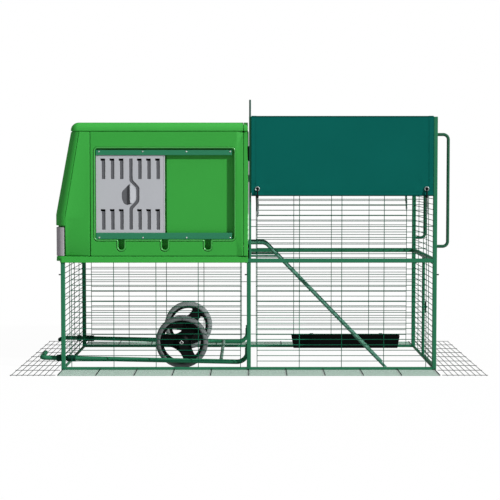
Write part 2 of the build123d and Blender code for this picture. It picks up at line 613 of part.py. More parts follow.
def wheel_core():
    """A moulded wheel about local Z: hub, rim and three broad spokes between lens-shaped openings."""
    core = Cylinder(RIM_OUT, 2 * RIM_HALF) - Cylinder(RIM_IN, 2 * RIM_HALF)
    web = Cylinder(RIM_IN, WEB_THICK)
    opening = Circle(RIM_IN) & Pos(LENS_NEAR + LENS_R, 0) * Circle(LENS_R)
    for i in range(3):
        web -= Rot(0, 0, 120 * i + LENS_TURN) * extrude(opening, WEB_THICK, both=True)
    core += web + Cylinder(HUB_R, HUB_LONG)
    return core - Cylinder(AXLE_R + RUNNING_GAP, 2 * HUB_LONG)


def tyre_ring():
    """A solid tyre about local Z, with a crowned tread."""
    bead, bulge = TYRE_HALF - 3, RIM_OUT + 12
    outline = [
        (RIM_OUT, -bead),
        (bulge, -TYRE_HALF),
        (WHEEL_R - 8, -bead),
        (WHEEL_R, -TYRE_SHOULDER),
        (WHEEL_R, TYRE_SHOULDER),
        (WHEEL_R - 8, bead),
        (bulge, TYRE_HALF),
        (RIM_OUT, bead),
    ]
    return revolve(Plane.XZ * make_face(Polyline(*outline, close=True)), Axis.Z)


def make_run_fittings():
    """Door, latch, carrying handles, feed trough and the cover with its eyelets and hooks."""
    post_face = HALF_LENGTH + HALF
    for side, shape in zip(("front", "back"), both_sides(round_tube(
        [
            (post_face, -HALF_DEPTH, HANDLE_Z[1]),
            (HANDLE_X, -HALF_DEPTH, HANDLE_Z[1]),
            (HANDLE_X, -HALF_DEPTH, HANDLE_Z[0]),
            (post_face, -HALF_DEPTH, HANDLE_Z[0]),
        ], HANDLE_R, [HANDLE_BEND, HANDLE_BEND]))):
        save("carry_handle_" + side, shape)
    make_door()
    make_trough()
    outside = cover_section(COVER_OUT, RUN_TOP + 4, 4 + COVER_THICK)
    inside = cover_section(COVER_OUT - COVER_THICK, RUN_TOP + 4 - COVER_THICK, 4)
    cover = Pos(COVER_X[0], 0, 0) * extrude(Plane.YZ * (outside - inside), COVER_X[1] - COVER_X[0])
    eyelets, hooks = [], []
    ring_y = (-COVER_OUT - EYELET_THICK, -COVER_OUT)
    for x in EYELET_X:
        cover -= rod_y(x, EYELET_Z, EYELET_HOLE, (-2 * COVER_OUT, 2 * COVER_OUT))
        ring = rod_y(x, EYELET_Z, EYELET_R, ring_y) - rod_y(x, EYELET_Z, EYELET_HOLE, ring_y)
        eyelets += both_sides(ring)
        hooks += both_sides(cover_hook(x))
    save("run_cover", cover)
    save("cover_eyelets", *eyelets)
    save("cover_hooks", *hooks)


def cover_section(half, top, radius):
    """The cover's outline across the run, open at the bottom, with rounded shoulders."""
    face = Pos(0, (COVER_LOW + top) / 2) * Rectangle(2 * half, top - COVER_LOW)
    return fillet(face.vertices().group_by(Axis.Y)[-1], radius)


def cover_hook(x):
    """A wire hook from an eyelet down to a mesh row, turned under the wire."""
    y = -COVER_OUT - HOOK_STAND_OFF
    low = HOOK_WIRE_Z - WIRE / 2 - HOOK_R - 0.5
    points = [
        (x, -COVER_OUT + 2 * COVER_THICK, EYELET_Z),
        (x, y, EYELET_Z),
        (x, y, low),
        (x, -HALF_DEPTH - 0.5, low),
    ]
    return round_tube(points, HOOK_R, [6, 8])


def make_door():
    """The door in the run's end: bar frame, mesh, hinge knuckles and a turn latch."""
    y = (-INNER + DOOR_SIDE_GAP, -MULLION / 2 - DOOR_SIDE_GAP)
    z = (BASE_RAIL + DOOR_GAP, WAIST_LOW - DOOR_GAP)
    x = (HALF_LENGTH - DOOR_BAR / 2, HALF_LENGTH + DOOR_BAR / 2)
    inner_y = (y[0] + DOOR_BAR, y[1] - DOOR_BAR)
    inner_z = (z[0] + DOOR_BAR, z[1] - DOOR_BAR)
    frame = block(x, y, z) - block(x, inner_y, inner_z)
    eyes = []
    half_eye = KNUCKLE_TALL / 2
    for height in HINGES_Z:
        axis = Pos(*DOOR_HINGE, height)
        knuckle_z = (height + half_eye + 0.5, height + half_eye + 12)
        arm = block((x[1], DOOR_HINGE[0]), (DOOR_HINGE[1] + 1, y[0] + DOOR_BAR), knuckle_z)
        knuckle = Pos(*DOOR_HINGE, sum(knuckle_z) / 2) * Cylinder(KNUCKLE_R, knuckle_z[1] - knuckle_z[0])
        frame += arm + knuckle + axis * Cylinder(PIN_R, 2 * KNUCKLE_TALL)
        leaf_x = (DOOR_HINGE[0] - LEAF_HALF, DOOR_HINGE[0] + LEAF_HALF)
        leaf = block(leaf_x, (-INNER, DOOR_HINGE[1]), (height - half_eye, height + half_eye))
        bore = axis * Cylinder(PIN_R + RUNNING_GAP, 3 * KNUCKLE_TALL)
        eyes.append(leaf + axis * Cylinder(KNUCKLE_R, KNUCKLE_TALL) - bore)
    save("run_door_frame", frame)
    save("door_hinge_eyes", *eyes)
    middle = (y[0] + y[1]) / 2
    door_rows = [(row, *inner_y) for row in LOWER_ROWS]
    save("run_door_mesh", *wires(RUN_END, [(middle, *inner_z)], door_rows))
    mullion_face = HALF_LENGTH + MULLION / 2
    long, wide, thick = LATCH
    washer = 2
    latch = Plane(origin=(mullion_face + washer, 0, LATCH_Z), x_dir=(0, 1, 0), z_dir=(1, 0, 0)).location
    blade = latch * extrude(SlotOverall(long, wide, rotation=90), thick)
    stub = Plane(origin=(mullion_face, 0, LATCH_Z), z_dir=(1, 0, 0)).location
    save("door_latch", blade + stub * extrude(Circle(LATCH_STUB_R), 2 * thick + washer + 1))


def make_trough():
    """A feed trough with tapered walls that hangs on the back mesh by two hooks."""
    low, high = TROUGH_Z
    centre = (sum(TROUGH_X) / 2, sum(TROUGH_Y) / 2)
    size = (TROUGH_X[1] - TROUGH_X[0], TROUGH_Y[1] - TROUGH_Y[0])

    def shell(inset, bottom):
        base = [side - 2 * (inset + TROUGH_TAPER) for side in size]
        rim = [side - 2 * inset for side in size]
        return loft([Pos(*centre, bottom) * Rectangle(*base), Pos(*centre, high) * Rectangle(*rim)])

    save("feed_trough", shell(0, low) - shell(TROUGH_WALL, low + TROUGH_WALL))
    save("trough_hooks", *[trough_hook(x) for x in TROUGH_HOOKS_X])


def trough_hook(x):
    """A folded strip that sits on the trough's rim and hooks over a mesh row."""
    width, thick, drop = TROUGH_HOOK
    back, rim = TROUGH_Y[1], TROUGH_Z[1]
    wire_top = LOWER_ROWS[1] + WIRE / 2
    outer = HALF_DEPTH + WIRE + thick
    points = [
        (back - TROUGH_WALL, rim),
        (back, rim),
        (back, wire_top),
        (outer - 2, wire_top),
        (outer - 2, wire_top - drop),
        (outer, wire_top - drop),
        (outer, wire_top + thick),
        (back + thick, wire_top + thick),
        (back + thick, rim + thick),
        (back - TROUGH_WALL, rim + thick),
    ]
    strip = Plane.YZ * make_face(Polyline(*points, close=True))
    return Pos(x - width / 2, 0, 0) * extrude(strip, width)


os.makedirs("parts", exist_ok=True)
make_frame()
make_mesh()
make_house()
make_vents()
make_house_fittings()
make_ladder()
make_wheel_gear()
make_run_fittings()
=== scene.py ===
# %% [markdown]
# This lesson dresses a movable chicken coop: a moulded hen house on a tube frame, with a wire run.
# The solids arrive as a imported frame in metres. They fix every size and every joint, so here
# we only make surfaces, small parts and light. X runs from the house to the run, Y to the back, Z up.

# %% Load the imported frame
import json
import math
import bmesh
import bpy
from mathutils import Matrix, Vector


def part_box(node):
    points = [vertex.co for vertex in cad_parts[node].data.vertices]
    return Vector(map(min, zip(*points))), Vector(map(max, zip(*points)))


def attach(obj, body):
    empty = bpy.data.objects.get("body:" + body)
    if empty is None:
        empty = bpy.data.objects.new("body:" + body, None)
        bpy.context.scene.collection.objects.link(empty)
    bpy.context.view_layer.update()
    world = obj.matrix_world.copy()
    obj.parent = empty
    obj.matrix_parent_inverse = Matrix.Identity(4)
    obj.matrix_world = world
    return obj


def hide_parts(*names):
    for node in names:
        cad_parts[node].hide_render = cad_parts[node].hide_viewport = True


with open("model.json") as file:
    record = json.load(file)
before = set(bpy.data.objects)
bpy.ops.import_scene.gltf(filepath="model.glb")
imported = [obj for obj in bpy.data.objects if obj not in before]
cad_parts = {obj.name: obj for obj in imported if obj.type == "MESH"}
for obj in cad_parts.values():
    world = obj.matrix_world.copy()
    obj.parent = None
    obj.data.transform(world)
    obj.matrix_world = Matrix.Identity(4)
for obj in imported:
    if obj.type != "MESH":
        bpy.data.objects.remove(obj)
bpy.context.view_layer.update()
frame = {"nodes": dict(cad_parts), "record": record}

# %% [markdown]
# Finishes are node trees. Writing them node by node is long and hard to read, so one small class
# wraps a socket: adding or multiplying two of these makes the Math nodes, and node() makes the rest.
# A colour is written as it looks on screen and turned into Blender's linear light once, here.

# %% A socket that can be used like a number
class Field:
    """A node socket of one material, with arithmetic on it."""

    def __init__(self, tree, socket=None):
        self.tree = tree
        self.socket = socket

    def node(self, kind, settings=None, inputs=None, output=0):
        """Add a node: its settings first, then the values or links of its inputs."""
        made = self.tree.nodes.new(kind)
        for name, value in (settings or {}).items():
            setattr(made, name, value)
        for key, value in (inputs or {}).items():
            if isinstance(value, Field):
                self.tree.links.new(value.socket, made.inputs[key])
            else:
                made.inputs[key].default_value = value
        return Field(self.tree, made.outputs[output])

    def maths(self, operation, first, second):
        return self.node("ShaderNodeMath", {"operation": operation}, {0: first, 1: second})

    def __add__(self, other):
        return self.maths("ADD", self, other)

    def __mul__(self, other):
        return self.maths("MULTIPLY", self, other)

    __radd__ = __add__
    __rmul__ = __mul__


def shown(red, green, blue):
    """A colour as seen on screen, 0 to 255, in linear light."""
    parts = [value / 255 for value in (red, green, blue)]
    return [p / 12.92 if p <= 0.04045 else ((p + 0.055) / 1.055) ** 2.4 for p in parts]


def blended(start, low, high, factor):
    """A colour between two, by a factor from 0 to 1."""
    inputs = {0: factor, 6: low, 7: high}
    return start.node("ShaderNodeMix", {"data_type": "RGBA"}, inputs, output=2)


print("maths on sockets is ready")

# %% [markdown]
# Powder coat, moulded plastic and rubber differ mostly in grain: how large it is, how deep, and how
# much it changes the gloss. One recipe with those as values therefore makes most of the finishes.
# The grain comes from Object coordinates, so it stays put on the piece when a joint moves.

# %% Recipe for grained finishes
CLOUD_SCALE, CLOUD_DETAIL = 6.0, 3.0


def new_finish(name, shine, metal=0.0):
    """A new material: its surface shader, a start for its nodes, and the place on the piece."""
    made = bpy.data.materials.new(name)
    made.use_nodes = True
    surface = made.node_tree.nodes["Principled BSDF"]
    surface.inputs["Metallic"].default_value = metal
    surface.inputs["Specular IOR Level"].default_value = shine
    start = Field(made.node_tree)
    return made, surface, start, start.node("ShaderNodeTexCoord", output="Object")


def feed(surface, name, field):
    field.tree.links.new(field.socket, surface.inputs[name])


def noise(start, place, scale, detail=2.0):
    inputs = {"Vector": place, "Scale": scale, "Detail": detail}
    return start.node("ShaderNodeTexNoise", {"noise_dimensions": "3D"}, inputs)


def bump(surface, start, height, depth, strength=1.0):
    inputs = {"Height": height, "Distance": depth, "Strength": strength}
    feed(surface, "Normal", start.node("ShaderNodeBump", {}, inputs))


def clouded(start, colour, change, factor):
    """A colour as seen on screen, from darker to lighter by a share of itself."""
    tones = [[min(1, v * (1 + way * change)) for v in shown(*colour)] + [1] for way in (-1, 1)]
    return blended(start, *tones, factor)


def grained(name, colour, gloss, grain=500, depth=0.0001, cloud=0.06, metal=0.0, shine=0.05):
    """A finish with fine grain, slightly clouded colour and gloss that varies with both."""
    made, surface, start, place = new_finish(name, shine, metal)
    fine = noise(start, place, grain)
    clouds = noise(start, place, CLOUD_SCALE, CLOUD_DETAIL)
    feed(surface, "Base Color", clouded(start, colour, cloud, clouds))
    feed(surface, "Roughness", gloss[0] + (gloss[1] - gloss[0]) * (0.5 * fine + 0.5 * clouds))
    bump(surface, start, fine, depth)
    return made


FINISHES = {
    "frame_green": grained("powder_coat_green", (46, 117, 84), (0.28, 0.44), 900),
    "wire_green": grained("coated_wire", (18, 90, 65), (0.35, 0.5), 900),
    "house_green": grained("moulded_green", (36, 159, 46), (0.62, 0.74), cloud=0.04, shine=0.6),
    "rail_green": grained("rail_green", (50, 126, 92), (0.35, 0.5)),
    "vent_grey": grained("vent_grey", (182, 184, 189), (0.4, 0.55), cloud=0.04),
    "drawer_grey": grained("drawer_grey", (168, 164, 169), (0.4, 0.55)),
    "inner_grey": grained("inner_grey", (150, 152, 152), (0.45, 0.6)),
    "black_plastic": grained("black_plastic", (10, 11, 11), (0.4, 0.55)),
    "black_steel": grained("black_steel", (20, 22, 22), (0.3, 0.45), 900),
    "grip_dark": grained("grip_rubber", (44, 47, 48), (0.6, 0.75), 400, 0.0003),
    "tyre_grey": grained("tyre_rubber", (107, 112, 112), (0.55, 0.75), 300, 0.0003),
    "plated_steel": grained("plated_steel", (206, 208, 206), (0.22, 0.36), 900, 0.00005, 0.1, 0.3, 0.5),
    "cover_teal": grained("cover_plain", (10, 96, 87), (0.5, 0.65), shine=0.02),
}
print(len(FINISHES), "finishes")

# %% [markdown]
# Each solid of the frame belongs to one material slot of the record. A solid whose shape is right
# keeps its mesh and only takes the finish.

# %% Paint the solids
for part in frame["record"]["subparts"]:
    coats = frame["nodes"][part["node"]].data.materials
    coats.clear()
    coats.append(FINISHES[part["material_slot"]])
print(len(frame["nodes"]), "solids painted")

# %% [markdown]
# Every new piece starts as a bmesh. These helpers turn the corners of an outline into arcs, cut a
# plate to outlines with holes, and lay a round bar along points. Their sizes are given in millimetres.
# The last two make the bmesh an object at the origin, with its place in its mesh, riding on a body of
# the frame: once, or at the front and mirrored at the back. Smooth shading runs over gentle bends only,
# so a crisp edge stays crisp, and a weighted normal keeps flats flat.

# %% Modelling helpers
MM = 0.001
MERGE = 0.01 * MM
CRISP = math.radians(38)
FACING_OUT = Matrix(((1, 0, 0, 0), (0, 0, -1, 0), (0, 1, 0, 0), (0, 0, 0, 1)))
TO_BACK = Matrix.Diagonal((1, -1, 1, 1))
SIDES = (("front", Matrix.Identity(4)), ("back", TO_BACK))
UPWARD, REARWARD = Vector((0, 0, 1)), Vector((-1, 0, 0))


def rounded(corners, steps=6):
    """A flat outline from corners (x, y, radius) in millimetres, each radius made an arc."""
    made = bmesh.new()
    spots = [made.verts.new((x * MM, y * MM, 0)) for x, y, radius in corners]
    made.faces.new(spots)
    for radius in {r for x, y, r in corners if r}:
        picked = [spot for spot, corner in zip(spots, corners) if corner[2] == radius]
        bmesh.ops.bevel(made, geom=picked, offset=radius * MM, affect="VERTICES",
                        segments=steps, profile=0.5, material=-1)
    made.faces.ensure_lookup_table()
    ring = [spot.co.copy() for spot in made.faces[0].verts]
    made.free()
    return ring


def sketch_mesh(rings, cyclic=True, **settings):
    """A bmesh from a curve through rings of points, with the curve's own fill, depth and bevel."""
    sketch = bpy.data.curves.new("sketch", "CURVE")
    for name, value in settings.items():
        setattr(sketch, name, value)
    for ring in rings:
        spline = sketch.splines.new("POLY")
        spline.points.add(len(ring) - 1)
        for spot, place in zip(spline.points, ring):
            spot.co = (*place, 1)
        spline.use_cyclic_u = cyclic
    holder = bpy.data.objects.new("sketch", sketch)
    cut = bpy.data.meshes.new_from_object(holder)
    made = bmesh.new()
    made.from_mesh(cut)
    bpy.data.objects.remove(holder)
    bpy.data.curves.remove(sketch)
    bpy.data.meshes.remove(cut)
    bmesh.ops.remove_doubles(made, verts=made.verts, dist=MERGE)
    bmesh.ops.recalc_face_normals(made, faces=made.faces)
    return made


def oblong(low, high, turn, steps=6):
    """The outline of a rectangle between two corners, with its own corners rounded."""
    (left, bottom), (right, top) = low, high
    corners = [(left, bottom), (right, bottom), (right, top), (left, top)]
    return rounded([(x, y, turn) for x, y in corners], steps)


def plate(rings, low, high, rounding, steps=3):
    """A plate between two levels, cut to a rim and holes, with every edge rounded."""
    made = sketch_mesh(rings, dimensions="2D", fill_mode="BOTH", extrude=((high - low) / 2 - rounding) * MM,
                       bevel_depth=rounding * MM, bevel_resolution=steps, offset=-rounding * MM)
    return placed(made, Matrix.Translation((0, 0, (low + high) / 2 * MM)))


def bar(points, radius, cyclic=False, steps=3):
    """A round bar along points."""
    path = [Vector(spot) * MM for spot in points]
    return sketch_mesh([path], cyclic, dimensions="3D", fill_mode="FULL", bevel_depth=radius * MM,
                       bevel_resolution=steps, use_fill_caps=True)


def placed(made, matrix):
    bmesh.ops.transform(made, matrix=matrix, verts=made.verts)
    if matrix.determinant() < 0:
        bmesh.ops.reverse_faces(made, faces=made.faces)
    return made


def joined(*parts):
    """Several bmeshes as one."""
    whole = bmesh.new()
    for part in parts:
        held = bpy.data.meshes.new("held")
        part.to_mesh(held)
        whole.from_mesh(held)
        bpy.data.meshes.remove(held)
        part.free()
    return whole


def softened(made, edges, radius, steps=3):
    """Round some edges."""
    bmesh.ops.bevel(made, geom=list(edges), offset=radius * MM, affect="EDGES", segments=steps,
                    profile=0.5, material=-1)
    return made


def sliced(made, at, across):
    """Cut new edges where a plane meets the mesh."""
    geometry = list(made.verts) + list(made.edges) + list(made.faces)
    bmesh.ops.bisect_plane(made, geom=geometry, plane_co=Vector(at) * MM, plane_no=across)


def facing(made, way):
    """Make the faces of a skin agree, and turn them to face a way."""
    bmesh.ops.recalc_face_normals(made, faces=made.faces)
    if sum(face.normal.dot(way) * face.calc_area() for face in made.faces) < 0:
        bmesh.ops.reverse_faces(made, faces=made.faces)
    return made


def spots_of(geometry):
    return [part for part in geometry if isinstance(part, bmesh.types.BMVert)]


def linked(name, made):
    """Make the bmesh an object of the scene."""
    data = bpy.data.meshes.new(name)
    made.to_mesh(data)
    made.free()
    shape = bpy.data.objects.new(name, data)
    bpy.context.scene.collection.objects.link(shape)
    return shape


def finished(name, made, slot, *nodes, body="coop", finish=None):
    """Make the bmesh an object that takes a slot's finish, rides on a body and stands for nodes."""
    for face in made.faces:
        face.smooth = True
    for edge in made.edges:
        edge.smooth = edge.calc_face_angle(0) < CRISP
    shape = linked(name, made)
    shape.data.materials.append(finish or FINISHES[slot])
    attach(shape, body)
    if nodes:
        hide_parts(*nodes)
    shape.modifiers.new("keep_flats_flat", "WEIGHTED_NORMAL").keep_sharp = True
    print(name, len(shape.data.polygons), "faces")
    return shape


def on_both_sides(name, make, slot, *nodes, body="coop", finish=None):
    """A piece made for the front, and mirrored for the back; a star in a name stands for the side."""
    for side, turn in SIDES:
        own_name, own_body, *own_nodes = [word.replace("*", side) for word in (name, body, *nodes)]
        finished(own_name, placed(make(), turn), slot, *own_nodes, body=own_body, finish=finish)


print("modelling helpers are ready")

# %% [markdown]
# The house is a twin-walled moulding. Each long side is a thick plate with a big shallow recess for
# the sliding vent, and the recess runs down into three drains. A plate with a hole and rounded edges is
# what a flat curve gives when it is filled and bevelled, so the recess is drawn once, and its outline
# serves the plate, the lip in its opening and the round bead along the lip. A liner with the window
# closes it behind, and narrow strips back its seam and its gaps.

# %% Side walls
RECESS_LEFT, RECESS_RIGHT = -823, -79
RECESS_LOW, RECESS_HIGH, RECESS_TURN = 704, 1192, 14
DRAINS, DRAIN_HALF, DRAIN_DROP = (-685, -451, -220), 16, 55
POCKET_HALF, POCKET_LOW, POCKET_HIGH = 14, RECESS_LOW - DRAIN_DROP + 3, RECESS_LOW - 2
WALL_FACE, RECESS_FLOOR, WALL_INSIDE = 511, 487, 477
WALL_LOW, WALL_HIGH, WALL_END = 616, 1280.5, -30
LINER_REAR, LINER_EAVES, LINER_HIGH = -994, -917, WALL_HIGH + 4
WINDOW = ((-800, 759), (-470, 1122))
CLOSING_GAP = ((-452, 735), (-441, 1160))
KNEE_Z, SEAM_X, SEAM_HALF = 822, -849.5, 1.4
BULGE_X, BULGE_STEP, FLARE_TOP, FLARE_FOOT = -67, 6, 10, 10
LIP_WIDE, TRENCH, LIP_FACE = 9, 1.8, 509
SEAM_BACKING, SEAM_DEPTH = 8, 500
GAP_BACKING, GAP_BACKING_THICK = ((-466, 725), (-428, 1170)), 8
CORNER_BACKING_X = -975
DRAIN_BACKING, DRAIN_BACKING_Z, DRAIN_BACKING_Y = 22, (632, 708), (472.5, 477.5)


def recess_ring(grow=0, trench=0):
    """The recess with its drains, or a larger outline; a trench widens it to the left and below."""
    left, right = RECESS_LEFT - grow - trench, RECESS_RIGHT + grow
    low, high = RECESS_LOW - grow - trench, RECESS_HIGH + grow
    half, turn = DRAIN_HALF + grow, RECESS_TURN + grow
    foot = low - DRAIN_DROP
    corners = [(left, high, turn), (left, low, turn)]
    for x in DRAINS:
        near, far = x - half - trench, x + half
        corners += [(near, low, 5), (near, foot, half - 0.1), (far, foot, half - 0.1), (far, low, 5)]
    corners += [(right, low, turn), (right, high, turn)]
    return rounded(corners)


def strip(low, high, near, far, rounding=1):
    """A plate facing the front between two corners (x, z) and two distances from the middle."""
    return placed(plate([oblong(low, high, 2)], near, far, rounding), FACING_OUT)


def flared(outer):
    """Bend the wall's run end: out at its foot, in at its top."""
    for step in range(6):
        sliced(outer, (BULGE_X + step * BULGE_STEP, 0, 0), (1, 0, 0))
    for spot in outer.verts:
        along = (spot.co.x / MM - BULGE_X) / (WALL_END - BULGE_X)
        if along > 0:
            height = (spot.co.y / MM - WALL_LOW) / (WALL_HIGH - WALL_LOW)
            spot.co.z -= ((FLARE_TOP + FLARE_FOOT) * height - FLARE_FOOT) * along * MM
    return outer


def pocket(x):
    """The hole behind a drain, round at its foot."""
    left, right, turn = x - POCKET_HALF, x + POCKET_HALF, POCKET_HALF - 0.1
    return rounded([(left, POCKET_LOW, turn), (right, POCKET_LOW, turn), (right, POCKET_HIGH, 3),
                    (left, POCKET_HIGH, 3)])


def side_wall():
    """The outer plate, the lip in its opening, and the liner with the window, facing the front."""
    rim = oblong((SEAM_X + SEAM_HALF, WALL_LOW), (WALL_END, WALL_HIGH), 2)
    outer = plate([rim, recess_ring(LIP_WIDE, TRENCH)], RECESS_FLOOR, WALL_FACE, 2)
    lip = plate([recess_ring(LIP_WIDE), recess_ring()], RECESS_FLOOR, LIP_FACE, 1)
    outline = rounded([(LINER_REAR, WALL_LOW, 0), (WALL_END, WALL_LOW, 0), (WALL_END, LINER_HIGH, 0),
                       (LINER_EAVES, LINER_HIGH, 0), (LINER_REAR, KNEE_Z, 0)])
    holes = [oblong(*WINDOW, 8), oblong(*CLOSING_GAP, 2)] + [pocket(x) for x in DRAINS]
    liner = plate([outline] + holes, WALL_INSIDE, RECESS_FLOOR + 1, 1)
    front = placed(joined(flared(outer), lip, liner), FACING_OUT)
    foot, head = WALL_LOW + 2, WALL_HIGH - 2
    seam_left, seam_right = SEAM_X - SEAM_BACKING, SEAM_X + SEAM_BACKING
    behind_seam = strip((seam_left, foot), (seam_right, head), RECESS_FLOOR, SEAM_DEPTH)
    behind_gap = strip(*GAP_BACKING, WALL_INSIDE - GAP_BACKING_THICK, WALL_INSIDE)
    behind_corner = strip((LINER_REAR, foot), (CORNER_BACKING_X, KNEE_Z), RECESS_FLOOR - 3, RECESS_FLOOR + 2)
    low, high = DRAIN_BACKING_Z
    drains = [strip((x - DRAIN_BACKING, low), (x + DRAIN_BACKING, high), *DRAIN_BACKING_Y) for x in DRAINS]
    return joined(front, behind_seam, behind_gap, behind_corner, *drains)


print("recess outline with", len(recess_ring()), "points")

# %% [markdown]
# Beside each wall a corner panel reaches to the rear. Its face isn't flat: it stands up in a crest along
# its rear edge, which runs out towards the seam, and it is dished below the knee. So it starts as a grid
# of points, each point gets its own height, and the rim is drawn back to the liner. A round bead, a bit
# glossier than the wall, then runs along the lip of each recess.

# %% Corner panels and beads
CORNER_X, CORNER_LEAN, CORNER_SPREAD, CORNER_CUTS = -985, 78.5, 3, 17
CREST, CREST_LOW, CREST_FADE, DISH = 9, 0.72, 0.33, 20
CORNER_EASE, BEAD_RADIUS = 2.5, 4.4


def corner_edges(z):
    """The corner panel's left and right edge at a height."""
    up = max(0, (z - KNEE_Z) / (WALL_HIGH - KNEE_Z))
    low = (WALL_HIGH - z) / (WALL_HIGH - WALL_LOW)
    return CORNER_X + up * CORNER_LEAN, SEAM_X - SEAM_HALF - CORNER_SPREAD * low


def corner_panel():
    """The panel between the side wall and the rear: it falls to the right above, and is dished below."""
    made = bmesh.new()
    levels = (WALL_LOW, KNEE_Z, WALL_HIGH)
    spots = [[made.verts.new((x * MM, z * MM, 0)) for x in corner_edges(z)] for z in levels]
    for low, high in zip(spots, spots[1:]):
        made.faces.new((*low, *reversed(high)))
    bmesh.ops.subdivide_edges(made, edges=made.edges, cuts=CORNER_CUTS, use_grid_fill=True)
    for spot in made.verts:
        z = spot.co.y / MM
        left, right = corner_edges(z)
        across = min(1, (spot.co.x / MM - left) / (right - left))
        above = max(0, (z - KNEE_Z) / (WALL_HIGH - KNEE_Z))
        below = max(0, (KNEE_Z - z) / (KNEE_Z - WALL_LOW))
        narrow = min(1, 3 * below)
        steepness = 2 - above + 12 * narrow
        crest = CREST * (1 - CREST_LOW * narrow - CREST_FADE * above) * (1 - across) ** steepness
        spot.co.z = (WALL_FACE - 0.3 + crest - DISH * below ** 2 * (1 - across)) * MM
    rim = [edge for edge in made.edges if edge.is_boundary]
    for spot in spots_of(bmesh.ops.extrude_edge_only(made, edges=rim)["geom"]):
        spot.co.z = RECESS_FLOOR * MM
    return placed(softened(facing(made, UPWARD), rim, CORNER_EASE), FACING_OUT)


def bead():
    path = [spot / MM + LIP_FACE * UPWARD for spot in recess_ring(LIP_WIDE / 2)]
    return placed(bar(path, BEAD_RADIUS, cyclic=True), FACING_OUT)


BEAD_GREEN = grained("bead_green", (52, 158, 60), (0.28, 0.36), cloud=0.04, shine=1.0)
on_both_sides("house_side_*", lambda: joined(side_wall(), corner_panel()), "house_green", "house_wall_*")
on_both_sides("house_bead_*", bead, "house_green", finish=BEAD_GREEN)

# %% [markdown]
# The rear panel leans inward above its knee and comes round both corners in a wide curve. One open
# chain of edges is drawn in plan, its two rear corners are rounded, and the chain is extruded up twice:
# straight to the knee, then to the eaves, which are moved forward. A second chain, set further in, stands
# below it and leaves a dark slot over the drawer.

# %% Rear panel
REAR_X, REAR_HALF, REAR_CORNER, REAR_BACK = -1039, 519, 46, 12
REAR_LOW, REAR_THICK, KNEE_TURN = 779, 16, 14
GAP_LOW, GAP_TALL, GAP_THICK = 771.5, 14, 4
GAP_BEHIND, GAP_NARROWER = 10, 16
WRAP_X, WRAP_TOP, EAVES_X, EAVES_HALF = -986.5, -909, -956, 516
RIM_FOLD, RIM_EASE = math.radians(60), 2


def plan_chain(made, height, open_x, rear_x, half, turn, back=0):
    """A plan open towards the run, as a chain of edges: two sides, and a rear with turned corners."""
    plan = rounded([(open_x, -half, 0), (open_x, half, 0), (rear_x, half - back, turn),
                    (rear_x, back - half, turn)], 8)
    sheet = made.faces.new([made.verts.new((x, y, height * MM)) for x, y, z in plan])
    front = max(sheet.edges, key=lambda edge: edge.verts[0].co.x + edge.verts[1].co.x)
    chain = [edge for edge in sheet.edges if edge is not front]
    bmesh.ops.delete(made, geom=[front], context="EDGES")
    return chain


def raised(made, chain, height):
    """Extrude a chain of edges upwards."""
    grown = bmesh.ops.extrude_edge_only(made, edges=chain)["geom"]
    bmesh.ops.translate(made, verts=spots_of(grown), vec=(0, 0, height * MM))
    return [part for part in grown if isinstance(part, bmesh.types.BMEdge)]


def solid(made, thickness):
    """Give a sheet its thickness."""
    bmesh.ops.solidify(made, geom=list(made.faces), thickness=thickness * MM)
    return made


def thickened(made, inward):
    """Give a skin of the rear a wall on its inner side, then ease the new rim."""
    solid(facing(made, REARWARD), inward)
    rim = [edge for edge in made.edges if edge.calc_face_angle(0) > RIM_FOLD]
    return softened(made, rim, RIM_EASE, 2)


rear = bmesh.new()
rear_chain = plan_chain(rear, REAR_LOW, WRAP_X, REAR_X, REAR_HALF, REAR_CORNER, REAR_BACK)
knee = raised(rear, rear_chain, KNEE_Z - REAR_LOW)
eaves = raised(rear, knee, WALL_HIGH - KNEE_Z)
for spot in {spot for edge in eaves for spot in edge.verts}:
    depth = (spot.co.x / MM - WRAP_X) / (REAR_X - WRAP_X)
    spot.co.x = (WRAP_TOP + depth * (EAVES_X - WRAP_TOP)) * MM
    spot.co.y *= EAVES_HALF / REAR_HALF
softened(rear, knee, KNEE_TURN, 4)
shadow_gap = bmesh.new()
gap_chain = plan_chain(shadow_gap, GAP_LOW, WRAP_X, REAR_X + GAP_BEHIND, REAR_HALF - GAP_NARROWER,
                       REAR_CORNER, REAR_BACK)
raised(shadow_gap, gap_chain, GAP_TALL)
whole_rear = joined(thickened(rear, REAR_THICK), thickened(shadow_gap, GAP_THICK))
finished("house_rear", whole_rear, "house_green", "house_rear_panel")

# %% [markdown]
# The roof is a box with a rounded crown, drawn in a little towards its top. Its underside is inset and
# pulled down to the walls: this smaller spigot leaves a seam between the roof and the walls.

# %% Roof
ROOF_LOW, ROOF_HIGH, ROOF_END = 1285, 1331, -30
ROOF_LEAN, ROOF_SET_IN, ROOF_CORNER, CROWN = 8, 4, 40, 37
SPIGOT_IN, REAR_PART, UPRIGHT = 6, -0.9, 20 * MM


def box_between(low, high):
    """A box between two corners in millimetres."""
    made = bmesh.new()
    bmesh.ops.create_cube(made, size=MM)
    low, high = Vector(low), Vector(high)
    bmesh.ops.scale(made, vec=high - low, verts=made.verts)
    bmesh.ops.translate(made, vec=(high + low) / 2 * MM, verts=made.verts)
    return made


def upright_edges(made):
    return [edge for edge in made.edges if abs(edge.verts[0].co.z - edge.verts[1].co.z) > UPRIGHT]


